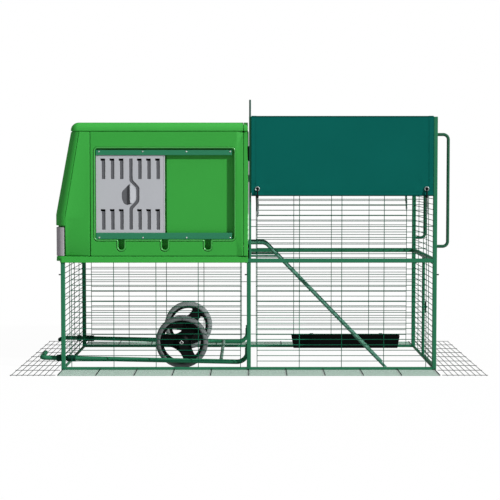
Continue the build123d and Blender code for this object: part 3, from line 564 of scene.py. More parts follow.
roof = box_between((EAVES_X, -WALL_FACE, ROOF_LOW), (ROOF_END, WALL_FACE, ROOF_HIGH))
for spot in roof.verts:
    if spot.co.z > (ROOF_LOW + 1) * MM:
        spot.co.y *= 1 - ROOF_LEAN / WALL_FACE
        spot.co.x += ROOF_SET_IN * MM if spot.co.x < REAR_PART else 0
rear_corners = [e for e in upright_edges(roof) if all(v.co.x < REAR_PART for v in e.verts)]
softened(roof, rear_corners, ROOF_CORNER, 8)
crown = [e for e in roof.edges if all(v.co.z > (ROOF_HIGH - 1) * MM for v in e.verts)
         and any(v.co.x < (ROOF_END - 1) * MM for v in e.verts)]
softened(roof, crown, CROWN, 8)
under = min(roof.faces, key=lambda face: face.calc_center_median().z)
bmesh.ops.inset_region(roof, faces=[under], thickness=SPIGOT_IN * MM)
spigot = bmesh.ops.extrude_face_region(roof, geom=[under])["geom"]
bmesh.ops.translate(roof, vec=(0, 0, (WALL_HIGH - ROOF_LOW) * MM), verts=spots_of(spigot))
bmesh.ops.delete(roof, geom=[under], context="FACES")
softened(roof, [e for e in roof.edges if all(abs(v.co.z - ROOF_LOW * MM) < 0.1 * MM for v in e.verts)
                and e.calc_face_angle(0) > 1 and e.calc_face_angle_signed(0) > 0], 2)
finished("house_roof_cap", roof, "house_green", "house_roof")

# %% [markdown]
# The panel towards the run closes the house's end, with a cap of its own over the roof's end, and has
# the pop hole through which the hens come out. The seam below the roof runs on round it, so it is two
# plates on a thinner core, cut from the same kind of outline as the walls and stood up across the house.

# %% Run-side panel
FACING_RUN = Matrix(((0, 0, 1, 0), (1, 0, 0, 0), (0, 1, 0, 0), (0, 0, 0, 1)))
PANEL_BACK, PANEL_FRONT, CORE_IN, CORE_HALF = -28, -5, 5, 501
POP_HOLE = ((-402, 702), (-130, 1030))
foot_half, head_half, top_half = WALL_FACE + FLARE_FOOT, WALL_FACE - FLARE_TOP, WALL_FACE - ROOF_LEAN
wall_rim = rounded([(-foot_half, WALL_LOW, 3), (foot_half, WALL_LOW, 3),
                    (head_half, WALL_HIGH, 3), (-head_half, WALL_HIGH, 3)])
cap_rim = rounded([(-WALL_FACE, ROOF_LOW, 3), (WALL_FACE, ROOF_LOW, 3),
                   (top_half, ROOF_HIGH, CROWN), (-top_half, ROOF_HIGH, CROWN)], 8)
core_rim = oblong((-CORE_HALF, WALL_LOW + 4), (CORE_HALF, ROOF_HIGH - 26), 3)
pop_hole = oblong(*POP_HOLE, 22)
panel = joined(plate([wall_rim, pop_hole], PANEL_BACK, PANEL_FRONT, 3),
               plate([cap_rim], PANEL_BACK, PANEL_FRONT, 3),
               plate([core_rim, pop_hole], PANEL_BACK + CORE_IN, PANEL_FRONT - CORE_IN, 1))
finished("house_run_panel", placed(panel, FACING_RUN), "house_green", "house_run_wall")

# %% [markdown]
# The droppings drawer closes the lower rear. Its face wraps round both corners as the rear panel does, so
# it is the same kind of chain, raised and given a wall. The finger slot is cut out of the face with four
# planes and sunk. The tray behind it is a box without a lid.

# %% Droppings drawer
DRAWER_X, DRAWER_OPEN, DRAWER_HALF, DRAWER_TURN = -1036, -991, 511, 38
DRAWER_LOW, DRAWER_HIGH, DRAWER_THICK = 615.5, 769.5, 8
GRIP_HALF, GRIP_LOW, GRIP_HIGH, GRIP_DEEP = 75, 700, 745, 12
TRAY_BOX, TRAY_TURN, TRAY_THICK = ((-1020, -470, 617), (-40, 470, 680)), 20, 4


def drawer_face():
    made = bmesh.new()
    chain = plan_chain(made, DRAWER_LOW, DRAWER_OPEN, DRAWER_X, DRAWER_HALF, DRAWER_TURN)
    raised(made, chain, DRAWER_HIGH - DRAWER_LOW)
    for across in (-GRIP_HALF, GRIP_HALF):
        sliced(made, (0, across, 0), (0, 1, 0))
    for height in (GRIP_LOW, GRIP_HIGH):
        sliced(made, (0, 0, height), (0, 0, 1))
    facing(made, REARWARD)
    slot = [face for face in made.faces if abs(face.calc_center_median().y) < 0.5 * GRIP_HALF * MM
            and GRIP_LOW * MM < face.calc_center_median().z < GRIP_HIGH * MM]
    bmesh.ops.inset_region(made, faces=slot, thickness=3 * MM, depth=-GRIP_DEEP * MM)
    return thickened(made, DRAWER_THICK)


def tray():
    made = box_between(*TRAY_BOX)
    lid = max(made.faces, key=lambda face: face.calc_center_median().z)
    bmesh.ops.delete(made, geom=[lid], context="FACES_ONLY")
    return solid(softened(made, upright_edges(made), TRAY_TURN, 4), TRAY_THICK)


whole_drawer = joined(drawer_face(), tray())
finished("drawer_face_and_tray", whole_drawer, "drawer_grey", "droppings_drawer", body="drawer")

# %% [markdown]
# The house stands on a moulded base: a deck with a rounded edge, an apron round the waist rails below
# it, and a set-back lip under the drawer. All three are flat outlines, filled, raised and rounded. Their
# sides then lean out a little towards the foot.

# %% House base
BASE_HALF, BASE_REAR, BASE_END = 515, -1035, -5
BASE_SLOPE, SLOPE_FROM, LEVEL_Z = 0.00022, 500, 600
DECK, APRON, REAR_LIP = (601, 613, 3), (580, 606, 1.6), (588, 602, 3)


def base_ring(left, right, half, turn):
    """An outline of the base seen from above, with its rear corners turned."""
    return rounded([(left, -half, turn), (right, -half, 2), (right, half, 2), (left, half, turn)])


deck = plate([base_ring(BASE_REAR, BASE_END, BASE_HALF, 34)], *DECK)
apron = plate([base_ring(-1015, BASE_END, BASE_HALF, 13), base_ring(-1011, -9, 511, 4)], *APRON)
rear_lip = plate([base_ring(BASE_REAR, -1012, 493, 8)], *REAR_LIP)
base = joined(deck, apron, rear_lip)
for spot in base.verts:
    if abs(spot.co.y) > SLOPE_FROM * MM:
        spot.co.y *= 1 + BASE_SLOPE * (LEVEL_Z - spot.co.z / MM)
finished("house_deck_and_apron", base, "house_green", "house_base")

# %% [markdown]
# A sliding vent is a moulded grey plate with two rows of slots. Each slot turns the corner at its
# top, where it goes right through; below that it is blind, so rain stays out. The middle has a
# finger pull: a hollow on the left, a fin, and a groove that runs round the fin. The front skin is
# one plate with all these openings, and a second thin plate behind it has only the mouths' holes. That
# backing is a darker grey, painted shade for the slots' floors, and a black strip behind each row of holes
# is painted shade in the mouths.

# %% Sliding vents
SLIDER_X, SLIDER_Z, SLIDER_HALF, SLIDER_TALL = -635, 947, 185, 217
SLIDER_FACE, SLIDER_FLOOR, SLIDER_BACK = 502.5, 499.3, 490.5
SLOT_PITCH, SLOT_WIDE, SLOT_TALL, SLOT_TURN, MOUTH_TALL = 48.8, 18.4, 110, 7, 11.6
SLOT_TOPS = (190.5, -80.5)
SLOTS = [(-134.7 + SLOT_PITCH * i, top) for i in (0, 1, 2, 4, 5, 6) for top in SLOT_TOPS]
HOLLOW = [(-5, 55, 3), (-47, 12, 8), (-47, -33, 20), (-24, -63, 16), (2, -50, 3), (-5, -34, 2)]
CHANNEL = [(-6, 190, 2), (12, 190, 2), (12, 76, 8), (48, 38, 10), (48, -40, 10), (12, -80, 8),
           (12, -190, 2), (-6, -190, 2), (-6, -72, 8), (31, -34, 10), (31, 32, 10), (-6, 70, 8)]
FIN = [(-3, 56, 3), (12, 42, 8), (25, 24, 12), (25, -26, 12), (12, -52, 10), (-3, -46, 3)]
FIN_X, FIN_TILT, FIN_HALF = 24, math.radians(14), 2.5
HOLE_WIDE, HOLE_TALL, SHADE_HALF, SHADE_THICK = 24, 11, 166, 1.2
SLIDER_AT = FACING_OUT @ Matrix.Translation((SLIDER_X * MM, SLIDER_Z * MM, 0))
# Painted shade: the backing's darker grey stands for the shadow on the slots' floors.
LOUVRE_PAINTED_SHADE_GREY = grained("louvre_painted_shade_grey", (97, 98, 102), (0.5, 0.65), cloud=0.04)


def slot(right, top):
    """A slot, with its mouth at the top turned to the left."""
    left, foot, mouth = right - SLOT_WIDE, top - SLOT_TALL, top - MOUTH_TALL
    return rounded([(left - SLOT_TURN, top, 2), (left - SLOT_TURN, mouth, 2), (left, mouth, 0.8),
                    (left, foot, 2), (right, foot, 2), (right, top, 2)], 3)


def grille():
    """A slider's pierced skin with its fin and its edge, facing the front."""
    half, tall = SLIDER_HALF, SLIDER_TALL
    openings = [slot(*place) for place in SLOTS] + [rounded(HOLLOW), rounded(CHANNEL)]
    skin = plate([oblong((-half, -tall), (half, tall), 5)] + openings, SLIDER_FLOOR, SLIDER_FACE, 1.2, 2)
    lifted = Matrix.Translation((FIN_X * MM, 0, (SLIDER_FACE - 1) * MM)) @ Matrix.Rotation(FIN_TILT, 4, "Y")
    fin = plate([rounded(FIN)], -FIN_HALF, FIN_HALF, 1.5)
    placed(fin, lifted @ Matrix.Translation((-FIN_X * MM, 0, 0)))
    edge = bar([(half - 3, z, SLIDER_FACE - 0.6) for z in (4 - tall, tall - 4)], 2.2)
    return placed(joined(skin, fin, edge), SLIDER_AT)


def louvres():
    """A slider's backing, with a hole behind each mouth; its darker grey is painted shade."""
    half, tall = SLIDER_HALF - 2, SLIDER_TALL - 2
    holes = [oblong((right - HOLE_WIDE, top - HOLE_TALL), (right - 1, top - 1), 2, 2) for right, top in SLOTS]
    rings = [oblong((-half, -tall), (half, tall), 4)] + holes
    return placed(plate(rings, SLIDER_BACK, SLIDER_FLOOR, 0.4, 1), SLIDER_AT)


def shades():
    """Black strips behind the two rows of holes: painted shade in the mouths."""
    left, right = SLIDER_X - SHADE_HALF, SLIDER_X + SHADE_HALF
    near, far = SLIDER_BACK - SHADE_THICK, SLIDER_BACK
    levels = [SLIDER_Z + top for top in SLOT_TOPS]
    return joined(*[strip((left, level - 13), (right, level + 1), near, far, 0.2) for level in levels])


on_both_sides("vent_slider_grille_*", grille, "vent_grey", "vent_slider_*", body="*_vent")
on_both_sides("vent_slider_louvres_*", louvres, "vent_grey", body="*_vent", finish=LOUVRE_PAINTED_SHADE_GREY)
# Painted shade: black strips darken the mouths.
on_both_sides("vent_slider_shades_*", shades, "black_plastic", body="*_vent")

# %% [markdown]
# Two rails hold each slider. A rail is a strip with a step behind it, so the slider runs in the gap
# under its lip. Eight screws with domed heads hold the rails. A head is turned: its half profile is
# drawn once and spun about its axis, as on a lathe.

# %% Vent rails and screws
RAIL_X, RAIL_FACE, RAIL_LIP = (-820, -90), 508, 503
RAILS, RAIL_STEP = ((706, 740), (1156, 1183)), 12
SCREW_X, SCREW_INSET = (-802, -568, -334, -100), 8


def turned(profile, steps=24):
    """Spin a half profile (radius, height) in millimetres about the Z axis."""
    made = bmesh.new()
    spots = [made.verts.new((radius * MM, 0, height * MM)) for radius, height in profile]
    lines = [made.edges.new(pair) for pair in zip(spots, spots[1:])]
    bmesh.ops.spin(made, geom=spots + lines, cent=(0, 0, 0), axis=(0, 0, 1), angle=math.tau,
                   steps=steps, use_merge=True)
    bmesh.ops.remove_doubles(made, verts=made.verts, dist=MERGE)
    bmesh.ops.recalc_face_normals(made, faces=made.faces)
    return made


def facing_front(x, y, z):
    """Lay a turned piece with its axis towards the front, at a place in millimetres."""
    return Matrix.Translation((x * MM, y * MM, z * MM)) @ FACING_OUT


HEAD = [(0, 1.0), (1.2, 1.0), (1.5, 2.2), (2.8, 1.9), (3.8, 1.2), (4.2, 0.4), (4.2, -3), (0, -3)]


def rails():
    (left, right), strips = RAIL_X, []
    for (low, high), step in zip(RAILS, (RAILS[0][0], RAILS[1][1] - RAIL_STEP)):
        strips.append(strip((left, low), (right, high), RAIL_LIP, RAIL_FACE, 1.5))
        strips.append(strip((left, step), (right, step + RAIL_STEP), RECESS_FLOOR, RAIL_LIP, 0.5))
    return joined(*strips)


def screws():
    levels = (RAILS[0][0] + SCREW_INSET, RAILS[1][1] - SCREW_INSET)
    seats = [facing_front(x, -RAIL_FACE, z) for x in SCREW_X for z in levels]
    return joined(*[placed(turned(HEAD, 14), seat) for seat in seats])


on_both_sides("vent_rail_strips_*", rails, "rail_green", "vent_rails_*")
on_both_sides("vent_screw_heads_*", screws, "plated_steel", "vent_screws")

# %% [markdown]
# Welded mesh is straight drawn wire: long horizontal wires on the outside, uprights behind them.
# The frame already has every wire as a square bar, so each bar's box gives the ends of a round wire.
# On the side panels the long wires end at the outer uprights, but for a few that tie the panel to its
# posts. The wires are many, so eight sides each are enough. Those on the ground are darker.

# %% Mesh wires
def loose_boxes(node):
    """The box of every separate bar in a solid."""
    source = bmesh.new()
    source.from_mesh(frame["nodes"][node].data)
    bmesh.ops.remove_doubles(source, verts=source.verts, dist=MERGE)
    waiting = set(source.verts)
    boxes = []
    for first in source.verts:
        if first not in waiting:
            continue
        waiting.remove(first)
        group = [first]
        for spot in group:
            fresh = {edge.other_vert(spot) for edge in spot.link_edges} & waiting
            waiting -= fresh
            group += fresh
        places = [spot.co for spot in group]
        low = Vector([min(place[i] for place in places) for i in range(3)])
        high = Vector([max(place[i] for place in places) for i in range(3)])
        boxes.append((low, high))
    source.free()
    return boxes


def round_wires(boxes, radius, turn_over=None):
    """Round wires in the boxes of square ones; turn_over mirrors their heights about its half."""
    made = bmesh.new()
    for low, high in boxes:
        size = high - low
        length = max(size)
        along = Vector([1.0 if part == length else 0.0 for part in size])
        turn = along.to_track_quat("Z", "Y").to_matrix().to_4x4()
        middle = (low + high) / 2
        middle.z = turn_over - middle.z if turn_over else middle.z
        bmesh.ops.create_cone(made, cap_ends=True, segments=8, radius1=radius * MM, radius2=radius * MM,
                              depth=length, matrix=Matrix.Translation(middle) @ turn)
    return made


def cut_back(boxes):
    """End a side panel's long wires at its outer uprights, but for those that tie it to the posts."""
    uprights = [(low.x + high.x) / 2 for low, high in boxes if high.z - low.z > high.x - low.x]
    left, right = min(uprights) - 2 * MM, max(uprights) + 2 * MM
    kept = []
    for low, high in boxes:
        tied = any(abs((low.z + high.z) / 2 - height * MM) < TIE_REACH * MM for height in TIES)
        if high.x - low.x > high.z - low.z and not tied:
            low, high = low.copy(), high.copy()
            low.x, high.x = max(low.x, left), min(high.x, right)
        kept.append((low, high))
    return kept


PANEL_WIRE, SKIRT_WIRE, CROSS_WIRE = 1.9, 1.5, 2.4
TIES, TIE_REACH = (195, 401, 773.5, 980, 1186), 14
SIDE_PANELS = ("mesh_house_sides", "mesh_run_lower", "mesh_run_upper")
SKIRT_DARK = grained("skirt_wire_dark", (14, 38, 30), (0.4, 0.55), 900)
for part in frame["record"]["subparts"]:
    node = part["node"]
    if part["material_slot"] == "wire_green" and node != "skirts_long":
        boxes = loose_boxes(node)
        boxes = cut_back(boxes) if node in SIDE_PANELS else boxes
        on_ground = node.startswith("skirt")
        wires = round_wires(boxes, SKIRT_WIRE if on_ground else PANEL_WIRE)
        body = "run_door" if node == "run_door_mesh" else "coop"
        paint = SKIRT_DARK if on_ground else None
        name = node.replace("mesh", "wires") + "_round"
        finished(name, wires, "wire_green", node, body=body, finish=paint)

# %% [markdown]
# On the long skirts the close wires along the ground are a lighter green, and darker cross wires lie on
# top of them. They are told apart by which side of their box is longer.

# %% Long skirts
SKIRT_GREEN = grained("skirt_wire_green", (116, 160, 138), (0.4, 0.55), 900)
skirt_boxes = loose_boxes("skirts_long")
turn_over = sum(corner.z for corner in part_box("skirts_long"))
long_boxes = [(low, high) for low, high in skirt_boxes if high.x - low.x > high.y - low.y]
cross_boxes = [(low, high) for low, high in skirt_boxes if high.x - low.x <= high.y - low.y]
long_wires = round_wires(long_boxes, SKIRT_WIRE, turn_over)
cross_wires = round_wires(cross_boxes, CROSS_WIRE, turn_over)
finished("skirt_long_wires", long_wires, "wire_green", "skirts_long", finish=SKIRT_GREEN)
finished("skirt_cross_wires", cross_wires, "wire_green", finish=SKIRT_DARK)

# %% [markdown]
# The wheels are moulded: a rim, a hub and a web with three lens-shaped openings, which leaves three
# broad swept spokes. Rim, hub and tyre are turned from half profiles. The web is a flat plate, and
# each opening is where a circle of the rim's size and a second circle overlap.

# %% Wheels
WHEEL_X, WHEEL_Y, WHEEL_Z = -364, 427, 143.3
AXLE = facing_front(WHEEL_X, -WHEEL_Y, WHEEL_Z)
TYRE_OUT, TYRE_IN, RIM_IN = 143, 117, 103
LENS_R, LENS_NEAR, LENS_TIP = 97, 52, 66.6
OPENINGS = (-5, 115, 235)
RIM = [(RIM_IN, -14), (RIM_IN + 1.5, -17), (TYRE_IN, -17), (TYRE_IN, 17), (RIM_IN + 1.5, 17), (RIM_IN, 14),
       (RIM_IN, -14)]
HUB = [(7.6, -21), (9, -22), (20, -22), (23, -20), (26, -6), (26, 6), (23, 20), (20, 22), (9, 22), (7.6, 21),
       (7.6, -21)]
CAP = [(12, 22), (12, 23), (34, 15), (40, 7), (40, 5)]
TREAD = [(0, 0), (0, 4.2), (1.8, 4.8), (1.8, 6.2), (0.3, 6.8), (2.5, 11), (8, 16), (17, 18.8)]


def arc(radius, half_angle, centre, facing, steps=10):
    """Points on an arc about a centre on the X axis, facing along X or against it."""
    turns = [half_angle * (2 * i / steps - 1) for i in range(steps + 1)]
    return [Vector((centre + facing * radius * math.cos(t), radius * math.sin(t) * facing, 0)) for t in turns]


def circle(radius, count):
    """A ring of points."""
    return [spot * MM for spot in arc(radius, math.pi * (count - 1) / count, 0, 1, count - 1)]


def lens_opening(turn):
    """One opening in the web: the rim's arc outside, an arc towards the hub inside."""
    outer = arc(RIM_IN, math.asin(LENS_TIP / RIM_IN), 0, 1)
    inner = arc(LENS_R, math.asin(LENS_TIP / LENS_R), LENS_NEAR + LENS_R, -1)
    spin = Matrix.Rotation(math.radians(turn), 4, "Z")
    return [spin @ (spot * MM) for spot in outer[1:-1] + inner]


def wheel():
    rings = [circle(RIM_IN + 2, 72), circle(8, 24)] + [lens_opening(turn) for turn in OPENINGS]
    web = plate(rings, -7, 7, 3)
    return placed(joined(web, turned(RIM, 72), turned(HUB, 40), turned(CAP, 40)), AXLE)


def tyre():
    """A solid rubber tyre: crowned tread with two grooves."""
    half = [(TYRE_OUT - drop, z) for drop, z in TREAD] + [(TYRE_IN + 4, 18), (TYRE_IN, 16)]
    profile = [(r, -z) for r, z in reversed(half)] + half[1:] + [(TYRE_IN, -16)]
    return placed(turned(profile, 96), AXLE)


on_both_sides("wheel_core_*", wheel, "black_plastic", "wheel_*", body="*_wheel")
on_both_sides("wheel_tyre_*", tyre, "tyre_grey", "tyre_*", body="*_wheel")

# %% [markdown]
# A square nut on each axle end holds its wheel. It is a small plate with a bore, turned on its corner,
# and the end of the axle sits dark in the bore.

# %% Axle nuts
NUT_Y, NUT_HALF, NUT_TURN = 472, 12, 1.5
AXLE_END = [(0, 2), (4, 2), (5.4, 0.6), (5.4, -4), (0, -4)]
nut_corners = [(-NUT_HALF, 0), (0, -NUT_HALF), (NUT_HALF, 0), (0, NUT_HALF)]
diamond = [(x, y, NUT_TURN) for x, y in nut_corners]
nuts, axle_ends = [], []
for side, turn in SIDES:
    seat = turn @ facing_front(WHEEL_X, -NUT_Y, WHEEL_Z)
    nuts.append(placed(plate([rounded(diamond, 3), circle(5.6, 16)], -4, 4, 1), seat))
    axle_ends.append(placed(turned(AXLE_END, 16), seat))
finished("axle_square_nuts", joined(*nuts), "plated_steel", "axle_nuts", body="wheel_lever")
finished("axle_ends", joined(*axle_ends), "black_steel", body="wheel_lever")

# %% [markdown]
# The cover is one piece of coated cloth, drawn tight over the run's roof rails and hooked to the mesh
# at its four corners. The sheet starts as its section across the run, an open chain with rounded
# shoulders, which is carried along the run step by step. Then the points move a little: short folds fan
# out from each eyelet, where the hook pulls, and the lower edge waves slightly.

# %% Cover sheet
COVER_LEFT, COVER_RIGHT, COVER_STEPS, CLOTH_STEP = 13.8, 988.5, 75, 13
COVER_HALF, COVER_LOW, COVER_TOP, COVER_TURN = 512.6, 937, 1365.2, 7
EYELETS, EYELET_Z = (46, 952.5), 976
WAVE, WAVE_LONG, WAVE_TALL = 0.5, 61, 160
FOLD, FOLDS, FOLD_FROM, FOLD_REACH, TAUT = 1.1, 5, 40, 30, 120


def pull(x, z):
    """How far the cloth stands off at a place on a side: folds near each eyelet, a soft wave at the hem."""
    out = WAVE * math.sin(x / WAVE_LONG) * max(0, 1 - (z - COVER_LOW) / WAVE_TALL)
    for centre in EYELETS:
        across, up = x - centre, z - EYELET_Z
        reach = math.hypot(across, up)
        fan = math.cos(FOLDS * math.atan2(up, abs(across) + 0.01))
        out += FOLD * fan * math.exp(-((reach - FOLD_FROM) / FOLD_REACH) ** 2)
    return out * min(1, max(0, (COVER_TOP - z) / TAUT))


def cover_chain(made):
    """The section across the run as a chain of edges, finely divided."""
    ring = rounded([(-COVER_HALF, COVER_LOW, 0), (-COVER_HALF, COVER_TOP, COVER_TURN),
                    (COVER_HALF, COVER_TOP, COVER_TURN), (COVER_HALF, COVER_LOW, 0)], 5)
    ring = sorted(ring, key=lambda spot: math.atan2(spot.x, spot.y - 1.0))
    spots = [made.verts.new((COVER_LEFT * MM, spot.x, spot.y)) for spot in ring]
    lines = [made.edges.new(pair) for pair in zip(spots, spots[1:])]
    for line in lines:
        cuts = int(line.calc_length() / (CLOTH_STEP * MM))
        if cuts:
            bmesh.ops.subdivide_edges(made, edges=[line], cuts=cuts)


def cover_skin():
    made = bmesh.new()
    cover_chain(made)
    stride = (COVER_RIGHT - COVER_LEFT) / COVER_STEPS * MM
    bmesh.ops.spin(made, geom=list(made.verts) + list(made.edges), cent=(0, 0, 0), axis=(1, 0, 0), angle=0,
                   dvec=(stride, 0, 0), steps=COVER_STEPS)
    bmesh.ops.remove_doubles(made, verts=made.verts, dist=MERGE)
    for spot in made.verts:
        side = -1 if spot.co.y < 0 else 1
        if abs(spot.co.y) > (COVER_HALF - 1) * MM:
            spot.co.y += side * pull(spot.co.x / MM, spot.co.z / MM) * MM
    return facing(made, UPWARD)


print("cover drops", round(COVER_TOP - COVER_LOW, 1), "mm on each side")

# %% [markdown]
# The cover's edges are turned in to a hem and bound with tape, and a piping lies along its two top folds.
# Tape and piping are darker than the cloth: painted shade for the dark lines along the hem and the folds.
# Hem and tape are strips of the same sheet, lifted just off the cloth, so they follow its folds. The
# finish is a plain weave under a thin coat: waves along the three axes stand for the threads, and soft
# clouds make the coat a little uneven.

# %% Cover cloth, hem and tape
HEM, TAPE, PIPING = 26, 6.5, 2.4
CLOTH_THICK, EDGE_THICK, HEM_LIFT, TAPE_LIFT = 1.0, 0.7, 0.8, 1.6


def edging(tall, wide, lift):
    """A strip along the cloth's edges, lifted just off the cloth."""
    made = cover_skin()
    sliced(made, (0, 0, COVER_LOW + tall), (0, 0, 1))

    def inner(face):
        place = face.calc_center_median() / MM
        return COVER_LEFT + wide < place.x < COVER_RIGHT - wide and place.z > COVER_LOW + tall
    bmesh.ops.delete(made, geom=[face for face in made.faces if inner(face)], context="FACES")
    moves = {spot: spot.normal.copy() for spot in made.verts}
    for spot, away in moves.items():
        spot.co += away * lift * MM
    return solid(made, EDGE_THICK)


def woven(name, colour, pitch):
    """Coated cloth: a plain weave under a thin coat, a little uneven in colour."""
    made, surface, start, place = new_finish(name, 0.02)
    scale = math.pi / 10 / (pitch * MM)
    threads = [start.node("ShaderNodeTexWave", {"bands_direction": axis},
                          {"Vector": place, "Scale": scale, "Distortion": 0.6}) for axis in "XYZ"]
    weave = threads[0] * 0.5 + threads[1] * 0.25 + threads[2] * 0.25
    clouds = noise(start, place, 5.0, 3.0)
    feed(surface, "Base Color", clouded(start, colour, 0.1, 0.6 * clouds + 0.4 * weave))
    feed(surface, "Roughness", 0.5 + 0.2 * clouds)
    bump(surface, start, weave, 0.00025, 0.6)
    return made


COVER_CLOTH = woven("cover_weave", (10, 96, 87), 2.2)
# Painted shade: the tape's darker colour stands for the dark lines along the hem and the top folds; the
# stitches' thread takes it too.
EDGE_TAPE_SHADE_AND_THREAD = woven("edge_tape", (4, 72, 64), 1.4)
cloth = solid(cover_skin(), CLOTH_THICK)
hem = edging(HEM, HEM, HEM_LIFT)
piping = [bar([(x, y, COVER_TOP - 4) for x in (COVER_LEFT + 3, COVER_RIGHT - 3)], PIPING)
          for y in (-COVER_HALF, COVER_HALF)]
tape = joined(edging(TAPE, -1, TAPE_LIFT), *piping)
cover_cloth = finished("cover_cloth", cloth, "cover_teal", "run_cover", finish=COVER_CLOTH)
cover_hem = finished("cover_hem", hem, "cover_teal", finish=COVER_CLOTH)
cover_tape = finished("cover_edge_tape_painted_shade", tape, "cover_teal", finish=EDGE_TAPE_SHADE_AND_THREAD)

# %% [markdown]
# The hem is sewn down with a straight row of stitches. One stitch is a short thread with a few sides, and
# it is repeated along the hem, each at the height of the cloth under it.

# %% Hem stitches
STITCH_PITCH, STITCH_LONG, THREAD, SEAM_IN = 9, 6, 0.5, HEM - 4
STITCHES_ALONG, STITCHES_UP = 103, 43


def stitches():
    made = bmesh.new()
    seam_z = COVER_LOW + SEAM_IN
    rows = [(COVER_LEFT + SEAM_IN + i * STITCH_PITCH, seam_z, "X") for i in range(STITCHES_ALONG)]
    for x in (COVER_LEFT + SEAM_IN, COVER_RIGHT - SEAM_IN):
        rows += [(x, seam_z + i * STITCH_PITCH, "Z") for i in range(STITCHES_UP)]
    for x, z, lies in rows:
        for side in (-1, 1):
            away = side * (COVER_HALF + pull(x, z) + 1.0)
            lay = Matrix.Rotation(math.pi / 2, 4, "Y") if lies == "X" else Matrix.Identity(4)
            where = Matrix.Translation(Vector((x, away, z)) * MM) @ lay
            bmesh.ops.create_cone(made, cap_ends=True, segments=6, radius1=THREAD * MM, radius2=THREAD * MM,
                                  depth=STITCH_LONG * MM, matrix=where)
    return made


cover_stitches = finished("cover_stitches", stitches(), "cover_teal", finish=EDGE_TAPE_SHADE_AND_THREAD)

# %% [markdown]
# Four pressed eyelets take the hooks that hold the cover down. An eyelet is a turned ring, and a black
# disc inside it is painted shade for its dark hole. A hook is a black shank with a stop, then two wires
# twisted together, dark grey above and bare below, and a bend at the end that catches a wire of the mesh.
# The twist is a bar laid along a helix.

# %% Eyelets and hooks
EYELET_FACE = 516.4
RING = [(8, -1.4), (7.6, 0.6), (8.6, 2.0), (10.4, 2.6), (12.2, 1.9), (13.2, 0.4), (13.2, -1.4), (8, -1.4)]
EYELET_SHADE_DISC = [(0, 0.2), (7.9, 0.2), (7.9, -1), (0, -1)]
STOP = [(0, 9), (4, 8.4), (7, 5.5), (8, 0), (7, -5.5), (4, -8.4), (0, -9)]
BEND = [(-507, 842), (-507, 832), (-504, 827), (-499, 827), (-496.5, 832), (-497, 842)]
DULL_PLATE = grained("dull_plate", (150, 162, 160), (0.4, 0.55), 900, cloud=0.12, metal=0.6, shine=0.3)
DARK_DIP = grained("dark_dip", (104, 116, 110), (0.4, 0.55), 900)


def twisted(start, end, turns, reach, radius):
    """Two wires twisted about the line between two points."""
    start, end = Vector(start), Vector(end)
    steps = 14 * turns
    wires = []
    for phase in (0, math.pi):
        path = []
        for step in range(steps + 1):
            turn = math.tau * turns * step / steps + phase
            away = Vector((math.cos(turn), math.sin(turn), 0)) * reach
            path.append(start.lerp(end, step / steps) + away)
        wires.append(bar(path, radius, steps=2))
    return joined(*wires)


def hook(x):
    """A hook at the front, below the eyelet at x: its shank, its dipped twist and its bare end."""
    shank = bar([(x, -509, 971), (x, -518, 972), (x, -523, 966), (x, -524, 955), (x - 0.5, -522, 942),
                 (x - 0.5, -520, 926)], 4)
    stop = placed(turned(STOP, 16), Matrix.Translation(Vector((x - 0.5, -520.5, 935)) * MM))
    dipped = twisted((x, -520, 928), (x + 2.5, -514, 878), 3, 3.9, 2.9)
    bare = twisted((x + 2.5, -514, 878), (x + 3, -508, 841), 2, 3.4, 2.6)
    return joined(shank, stop), dipped, joined(bare, bar([(x + 2.5, y, z) for y, z in BEND], 2.4))


rings, holes, hooks = [], [], []
for side, turn in SIDES:
    for x in EYELETS:
        seat = turn @ facing_front(x, -EYELET_FACE, EYELET_Z)
        rings.append(placed(turned(RING, 28), seat))
        holes.append(placed(turned(EYELET_SHADE_DISC, 20), seat))
        hooks.append([placed(part, turn) for part in hook(x)])
shanks, twists, ends = [joined(*parts) for parts in zip(*hooks)]
finished("cover_eyelet_rings", joined(*rings), "plated_steel", "cover_eyelets", finish=DULL_PLATE)
# Painted shade: a black disc fills each eyelet's hole.
finished("cover_eyelet_painted_shade_discs", joined(*holes), "black_plastic")
finished("cover_hook_shanks", shanks, "black_steel", "cover_hooks")
finished("cover_hook_twists", twists, "black_steel", finish=DARK_DIP)
finished("cover_hook_ends", ends, "plated_steel", finish=DULL_PLATE)

# %% [markdown]
# Some solids of the frame differ in colour from the rest of their slot: the handles and the lift rod are
# darker, the ladder is paler, the lever's sleeves are dark green and its cross bar is pale. The hatch
# and its guides are painted nearly white as painted light, so that the gap beside the house, which lies
# in shade, still reads bright. They keep their meshes and take a finish of their own. The sheet metal
# and the trough also get eased edges from a bevel modifier, which leaves their meshes as they are.

# %% Finishes and eased edges of single solids
OWN_FINISH = {
    "carry_handle_front": ("handle_green", (44, 92, 68)),
    "carry_handle_back": ("handle_green", (44, 92, 68)),
    "pop_door_rod": ("rod_grey", (66, 93, 84)),
    "ladder_rails": ("ladder_green", (84, 134, 114)),
    "lever_sleeves": ("sleeve_green", (18, 60, 46)),
    "lever_cross_bar": ("cross_bar_pale", (123, 150, 138)),
    # Painted light: hatch and guides near white, so the shaded gap beside the house reads bright.
    "pop_door": ("hatch_painted_light", (222, 250, 228)),
    "pop_door_guides": ("guide_painted_light", (222, 250, 228)),
}
EASED = ("feed_trough", "wheel_brackets", "trough_hooks", "frame_bolts", "house_stays", "door_latch",
         "nest_box")
EASE, EASE_FROM = 0.8 * MM, math.radians(40)
for node, (name, colour) in OWN_FINISH.items():
    paint = bpy.data.materials.get(name) or grained(name, colour, (0.34, 0.5), 700)
    frame["nodes"][node].data.materials[0] = paint

